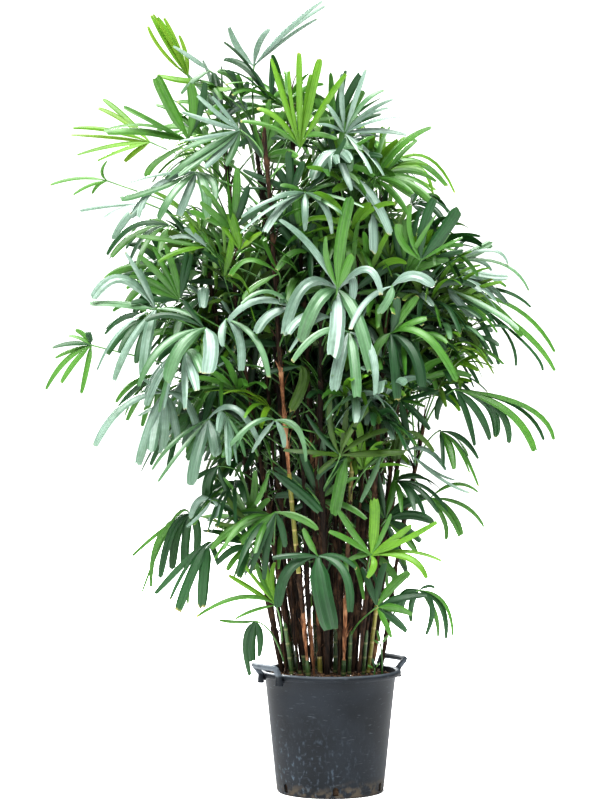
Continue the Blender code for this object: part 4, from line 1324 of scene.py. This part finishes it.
# the leaves that show on the front of the crown
frontLeaves = [
    # Top
    (-0.192, 1.775, -0.15, 60, 10, 25, 7, 0.160, 120, 0.30, "mid"),
    (0.008, 1.845, -0.1, 75, 5, 10, 8, 0.190, 100, 0.10, "mid"),
    (0.023, 1.746, -0.22, 60, 15, 35, 8, 0.170, 140, 0.40, "mid"),
    (0.127, 1.724, -0.2, 30, 10, 30, 9, 0.200, 140, 0.40, "mid"),
    (0.150, 1.735, -0.1, 60, 0, 20, 8, 0.130, 120, 0.30, "lively"),
    (0.225, 1.650, 0, 10, 0, 59, 8, 0.150, 120, 0.80, "deep"),
    # Left and middle
    (-0.451, 1.592, -0.08, 190, 10, 60, 8, 0.216, 120, 0.70, "mid"),
    (-0.276, 1.577, -0.24, 100, 15, 15, 7, 0.170, 100, 0.10, "mid"),
    (-0.423, 1.380, -0.22, 120, 15, 20, 8, 0.180, 110, 0.20, "mid"),
    (-0.085, 1.521, -0.2, 95, 5, 8, 8, 0.200, 110, 0.05, "deep"),
    (0.208, 1.451, -0.22, 60, 10, 15, 7, 0.200, 90, 0.10, "mid"),
    (-0.500, 1.330, -0.05, 200, 10, 40, 8, 0.180, 120, 0.70, "deep"),
    (-0.470, 1.170, 0.0, 220, 10, 50, 8, 0.200, 120, 0.80, "mid"),
    (-0.450, 1.450, 0.0, 170, 0, 20, 8, 0.180, 120, 0.50, "deep"),
    (-0.400, 1.060, 0.02, 230, 10, 60, 8, 0.200, 110, 0.80, "deep"),
    (-0.350, 1.300, -0.10, 200, 10, 50, 9, 0.200, 130, 0.70, "deep"),
    (-0.300, 1.180, -0.12, 220, 10, 60, 9, 0.200, 130, 0.70, "deep"),
    # Lower
    (0.310, 1.014, -0.05, -40, 24, 62, 7, 0.184, 110, 0.90, "mid"),
    (0.183, 0.873, -0.1, -10, 10, 60, 8, 0.184, 140, 0.70, "deep"),
    (-0.293, 1.059, -0.26, 285, 49, 62, 6, 0.173, 100, 0.80, "pale"),
    (-0.408, 1.239, -0.22, 235, 43, 62, 8, 0.216, 120, 0.80, "pale"),
    (-0.163, 0.775, -0.16, 196, 18, 62, 7, 0.216, 90, 0.60, "mid"),
    (-0.268, 0.873, -0.1, 230, 33, 62, 8, 0.194, 120, 0.80, "deep"),
    (-0.225, 0.690, -0.1, 165, 10, 30, 8, 0.140, 150, 0.40, "deep"),
    # Low front
    (0.130, 0.515, -0.15, 30, 10, 20, 7, 0.140, 160, 0.30, "mid"),
    (0.155, 0.761, -0.1, 45, 10, 20, 9, 0.150, 200, 0.30, "deep"),
    (-0.028, 0.817, -0.12, 85, 10, 20, 9, 0.170, 220, 0.30, "deep"),
]

# the crown's edge as seen from the front: height, left, right
crownEdge = [
    (2.06, -0.41, -0.07), (1.94, -0.48, 0.03), (1.86, -0.51, 0.12), (1.77, -0.53, 0.21), (1.66, -0.53, 0.30),
    (1.55, -0.51, 0.39), (1.44, -0.57, 0.48), (1.32, -0.60, 0.51), (1.21, -0.61, 0.48), (1.10, -0.57, 0.41),
    (0.99, -0.51, 0.33), (0.87, -0.42, 0.31), (0.76, -0.39, 0.27), (0.65, -0.36, 0.28), (0.53, -0.27, 0.23),
    (0.42, -0.20, 0.17),
]
crown = {
    "top": 2.04,
    "front": -0.36,
    "back": 0.50,
    "leafy": 0.62,  # how much of a cane's top bears leaves
    "spacing": 0.045,
    "turn": 137.5,
    "stalk": (0.15, 0.31),
    "rise": (76, 2),
    "dip": (12, 30),
    "bulge": 1.25,  # how far it may stand out past an oval, as seen from above
    "caneTurn": 51,
    "leafyShare": 0.62,  # on a short cane
    "turnSway": 16,
    "riseSway": 8,
    "leaflets": (6, 7, 7, 8, 8, 9, 10),
    "length": (0.17, 0.24),
    "spread": (110, 215),
    "droop": (0.15, 0.95),
    "seed": 23,
    "tries": 14,
}
# open sky inside that edge: across, height, half width, half height
skyWindows = [
    (-0.245, 1.700, 0.035, 0.050),
    (0.270, 0.745, 0.050, 0.080),
    (-0.240, 0.715, 0.040, 0.040),
    (-0.300, 1.810, 0.020, 0.028),
    (-0.195, 1.900, 0.022, 0.030),
    (-0.100, 1.760, 0.016, 0.022),
    (0.205, 1.690, 0.026, 0.026),
    (0.290, 1.640, 0.024, 0.030),
    (0.270, 1.060, 0.030, 0.045),
    (-0.350, 1.650, 0.020, 0.024),
    (-0.060, 1.480, 0.012, 0.020),
]
# and where stems show through the front
stemWindows = [
    (-0.270, 1.600, 0.024, 0.100),
    (-0.146, 1.230, 0.018, 0.090),
    (-0.135, 1.060, 0.020, 0.110),
    (-0.128, 0.880, 0.024, 0.110),
    (-0.112, 0.730, 0.024, 0.080),
    (-0.012, 0.820, 0.020, 0.090),
    (0.085, 0.780, 0.026, 0.080),
]


def inWindow(place):
    across, height = seenFrom(place)
    windows = skyWindows + (stemWindows if place.y < 0 else [])
    return any(((across - x) / wide) ** 2 + ((height - z) / tall) ** 2 < 1 for x, z, wide, tall in windows)


def crownWidth(height):
    # how far left and right the crown reaches at this height
    for above, below in zip(crownEdge, crownEdge[1:]):
        if height >= below[0]:
            share = min(1.0, max(0.0, (above[0] - height) / (above[0] - below[0])))
            return between((above[1], below[1]), share), between((above[2], below[2]), share)
    return crownEdge[-1][1:]


def insideCrown(place):
    across, height = seenFrom(place)
    if height > crown["top"] or not crown["front"] < place.y < crown["back"]:
        return False
    left, right = crownWidth(height)
    middle = (left + right) / 2
    half = (right - left) / 2
    deep = crown["front"] if place.y < 0 else crown["back"]
    if ((across - middle) / half) ** 2 + (place.y / deep) ** 2 > crown["bulge"] or not left < across < right:
        return False
    return not inWindow(place)


def coversWindow(hub, ways, leaf):
    # whether any of its leaflets would stand in a window
    for turn in range(-4, 5):
        angle = math.radians(leaf["spread"] / 8 * turn)
        way = ways[0] * math.cos(angle) + ways[1] * math.sin(angle)
        for share in (0.35, 0.6, 0.85, 1.0):
            fall = up * 0.9 * leaf["droop"] * share ** 2.5
            if inWindow(hub + (way - fall) * leaf["length"] * share):
                return True
    return False


# how often each colour falls: high in front, high inside, drooping, upright and low
# the lighter greens high up paint the brighter light on the top of the crown as well as its younger leaves,
# the pale ones on drooping leaves paint the sky's sheen on them, and the deep green inside the crown and low
# down paints the shade there
tintShares = {
    "high": {"lively": 0.46, "mid": 0.14, "fresh": 0.18, "pale": 0.14, "jade": 0.08},
    "highInside": {"lively": 0.42, "mid": 0.36, "deep": 0.22},
    "drooping": {"pale": 0.24, "jade": 0.16, "mid": 0.26, "deep": 0.22, "lively": 0.08, "olive": 0.04},
    "upright": {"mid": 0.38, "lively": 0.26, "deep": 0.24, "fresh": 0.06, "olive": 0.06},
    "inside": {"deep": 0.62, "mid": 0.20, "olive": 0.18},
}
# which leaves those are: heights and depths in metres, the pitch in degrees
tintPlaces = {
    "highFrom": 1.55,
    "lowTo": 0.9,
    "uprightFrom": 25,
    "middle": -0.08,
    "insideTo": 0.17,
    "backFrom": 0.15,
}


def tintFor(pitch, hub, dice):
    where = tintPlaces
    inside = math.hypot(hub.x - where["middle"], hub.y) < where["insideTo"] or hub.y > where["backFrom"]
    if hub.z > where["highFrom"]:
        name = "highInside" if inside else "high"
    elif inside or hub.z < where["lowTo"]:
        name = "inside"
    else:
        name = "upright" if pitch > where["uprightFrom"] else "drooping"
    shares = tintShares[name]
    return dice.choices(list(shares), list(shares.values()))[0]


def spreadWays(turn, pitch, roll):
    # a leaf that grows out in this direction, at this pitch above the level
    level = Vector((math.cos(turn), math.sin(turn), 0))
    ahead = level * math.cos(pitch) + up * math.sin(pitch)
    face = up * math.cos(pitch) - level * math.sin(pitch)
    side = face.cross(ahead)
    tilted = side * math.cos(roll) + face * math.sin(roll)
    return ahead, tilted, ahead.cross(tilted)


def crownLeaf(cane, height, share, turn, dice):
    # a leaf that this cane may bear at this height, where share of its leafy top is above it
    turn = math.radians(turn + dice.gauss(0, crown["turnSway"]))
    rise = math.radians(between(crown["rise"], share) + dice.gauss(0, crown["riseSway"]))
    reach = between(crown["stalk"], min(1, share * 1.6)) * dice.uniform(0.8, 1.15)
    foot = caneAt(cane, height)
    out = Vector((math.cos(turn), math.sin(turn), 0)) * math.cos(rise) + up * math.sin(rise)
    pitch = rise - math.radians(between(crown["dip"], share))
    leastDroop, moreDroop = crown["droop"]
    return {
        "foot": foot,
        "hub": foot + out * reach,
        "pitch": pitch,
        "ways": spreadWays(turn + dice.gauss(0, 0.2), pitch, dice.gauss(0, 0.25)),
        "leaflets": dice.choice(crown["leaflets"]),
        "length": dice.uniform(*crown["length"]),
        "spread": dice.uniform(*crown["spread"]),
        "droop": leastDroop + moreDroop * share * dice.uniform(0.7, 1.3),
    }


def fitsCrown(leaf):
    # whether its hub and its outer leaflets stay inside, and none of them covers a window
    hub = leaf["hub"]
    ahead, side, _ = leaf["ways"]
    fall = up * leaf["length"] * min(0.6, leaf["droop"]) * 0.5
    reaches = [ahead * 0.9, ahead * 0.3 + side * 0.75, ahead * 0.3 - side * 0.75]
    within = insideCrown(hub) and all(insideCrown(hub + way * leaf["length"] - fall) for way in reaches)
    return within and not coversWindow(hub, leaf["ways"], leaf)


def growCrown(zones, stalks):
    # leaves stand one above another up each cane's top, each a golden angle round from the last
    dice = random.Random(crown["seed"])
    grown = 0
    for order, cane in enumerate(canes):
        tip = canes[cane][2]
        leafy = min(crown["leafy"], crown["leafyShare"] * (tip - clump["soil"]))
        height = tip - 0.005
        n = 0
        while height > tip - leafy:
            turn = order * crown["caneTurn"] + n * crown["turn"]
            share = (tip - height) / leafy
            tried = (crownLeaf(cane, height, share, turn, dice) for _ in range(crown["tries"]))
            leaf = next((leaf for leaf in tried if fitsCrown(leaf)), None)
            if leaf:
                tint = tintFor(math.degrees(leaf["pitch"]), leaf["hub"], dice)
                leaf["wide"] = leafWidths[tint]
                work = startWork()
                hub = addFan(work, leaf["hub"], leaf["ways"], leaf, tintPair(tint), dice)
                pour(work, nearestZone(zones, leaf["hub"]))
                addLooseStalk(stalks, hub, leaf["ways"][0], leaf["foot"])
                grown += 1
            height -= crown["spacing"] * dice.uniform(0.8, 1.2)
            n += 1
    return grown


def tintPair(tint):
    return tintOrder.index(tint), tintOrder.index(besideTint[tint])


def fanFinishes(tints, tint, stalk):
    return [tints[tint], stalk, tints[besideTint[tint]]]


def startZones():
    # each mass of foliage: its middle, and the mesh that its leaves join
    zones = {}
    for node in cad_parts:
        if node.startswith("foliage_"):
            low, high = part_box(node)
            zones[node] = {"middle": (low + high) / 2, "work": startWork()}
    return zones


def nearestZone(zones, hub):
    return min(zones.values(), key=lambda zone: (zone["middle"] - hub).length)["work"]


def fromTable(numbers):
    # a leaf of one of the tables, with its hub and its ways
    leaf = dict(zip(leafColumns, numbers))
    leaf["wide"] = leafWidths[leaf["tint"]]
    hub = seenPlace(leaf["across"], leaf["height"], leaf["depth"])
    return leaf, hub, leafWays(leaf["aim"], leaf["toward"], leaf["lift"])


def makeLeaves(tints, stalk):
    zones = startZones()
    stalks = startWork()
    reaches = fan["reaches"]
    dice = random.Random(fan["seed"])

    for name, leaf in shownLeaves.items():
        zone = nearestZone(zones, placeAt(leaf["hub"], leaf["depth"]))
        work = startWork()
        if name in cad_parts:
            hub, ahead = addShown(work, leaf, ownSlots, dice)
            addStalk(work, hub, ahead, holdFor(hub, reaches["shown"]), stalkSlot)
            addToPlant(newPiece(name + "_fan", work, fanFinishes(tints, leaf["tint"], stalk)), "leaf", name)
        else:
            hub, ahead = addShown(work, leaf, tintPair(leaf["tint"]), dice)
            pour(work, zone)
            addLooseStalk(stalks, hub, ahead, holdFor(hub, reaches["shown"]))

    for name, numbers in backLeaves.items():
        leaf, hub, ways = fromTable(numbers)
        work = startWork()
        hub = addFan(work, hub, ways, leaf, ownSlots, dice)
        addStalk(work, hub, ways[0], holdFor(hub, reaches["back"]), stalkSlot)
        addToPlant(newPiece(name + "_fan", work, fanFinishes(tints, leaf["tint"], stalk)), "leaf", name)

    for numbers in frontLeaves:
        leaf, hub, ways = fromTable(numbers)
        zone = nearestZone(zones, hub)
        work = startWork()
        hub = addFan(work, hub, ways, leaf, tintPair(leaf["tint"]), dice)
        pour(work, zone)
        addLooseStalk(stalks, hub, ways[0], holdFor(hub, reaches["front"]))

    grown = growCrown(zones, stalks)
    print("leaves grown:", grown + len(frontLeaves) + len(shownLeaves) + len(backLeaves))
    for node, zone in zones.items():
        piece = newPiece(node.replace("foliage", "leaves"), zone["work"], [tints[tint] for tint in tintOrder])
        addToPlant(piece, "foliage", node)
    addToPlant(newPiece("leaf_stalks", stalks, [stalk]), "leaf")


# the shoots that come up by the right grip
shoots = {
    "seed": 9,
    "leaf": {"leaflets": 3, "spread": 90, "droop": 0.1, "wide": 0.4},
    "each": [
        {"foot": (0.145, -0.045), "tall": 0.085, "lean": (-0.004, -0.004), "length": 0.042},
        {"foot": (0.120, -0.105), "tall": 0.022, "lean": (0.002, -0.004), "length": 0.030},
    ],
}


def makeShoots(tints, stalk):
    dice = random.Random(shoots["seed"])
    work = startWork()
    for shoot in shoots["each"]:
        foot = Vector((*shoot["foot"], mix["top"] - 0.004))
        hub = foot + Vector((*shoot["lean"], shoot["tall"]))
        ways = leafWays(100, 10, 20)
        hub = addFan(work, hub, ways, shoots["leaf"] | {"length": shoot["length"]}, ownSlots, dice)
        addStalk(work, hub, ways[0], foot, stalkSlot)
    addToPlant(newPiece("young_shoots", work, fanFinishes(tints, "mid", stalk)), "leaf")


floor = {
    "radius": 14.0,
    "below": 0.0003,  # the pot's foot
}


def makeFloor():
    work = bmesh.new()
    bmesh.ops.create_circle(work, cap_ends=True, segments=96, radius=floor["radius"])
    bmesh.ops.translate(work, verts=work.verts, vec=(0, 0, -floor["below"]))
    newPiece("floor", work, [floorFinish()])


setView()
setLight()
makeFloor()
print("view, light and floor set")

plastic = potFinish()
makePot(plastic)
for name, turn in grip["turns"].items():
    makeGrip(name, turn, plastic)
makeMix(soilFinish())
makeBits(chipFinish("bark", (0.05, 0.028, 0.015), (0.17, 0.10, 0.055)),
         chipFinish("grit", (0.55, 0.53, 0.48), (0.75, 0.73, 0.68)))
print("pot and potting mix made")

stalkGreen = stalkFinish()
caneFinishes = [
    caneFinish("green", (0.016, 0.046, 0.010), (0.042, 0.092, 0.022), (0.17, 0.18, 0.08)),
    caneFinish("lime", (0.120, 0.130, 0.018), (0.240, 0.215, 0.045), (0.34, 0.28, 0.12)),
    fibreFinish("tan", (0.085, 0.036, 0.018), (0.240, 0.120, 0.060), (0.40, 0.25, 0.15)),
    fibreFinish("brown", (0.011, 0.006, 0.004), (0.050, 0.027, 0.015), (0.150, 0.088, 0.050)),
    fibreFinish("dark", (0.005, 0.003, 0.002), (0.022, 0.013, 0.008), (0.070, 0.042, 0.026)),
]
makeCanes(caneFinishes)
print("canes made")

tintFinishes = {name: leafFinish(name, (dark, bright), through, share, sheen)
                for name, (dark, bright, through, share, sheen) in leafTints.items()}
makeLeaves(tintFinishes, stalkGreen)
makeShoots(tintFinishes, stalkGreen)
print("leaves made")
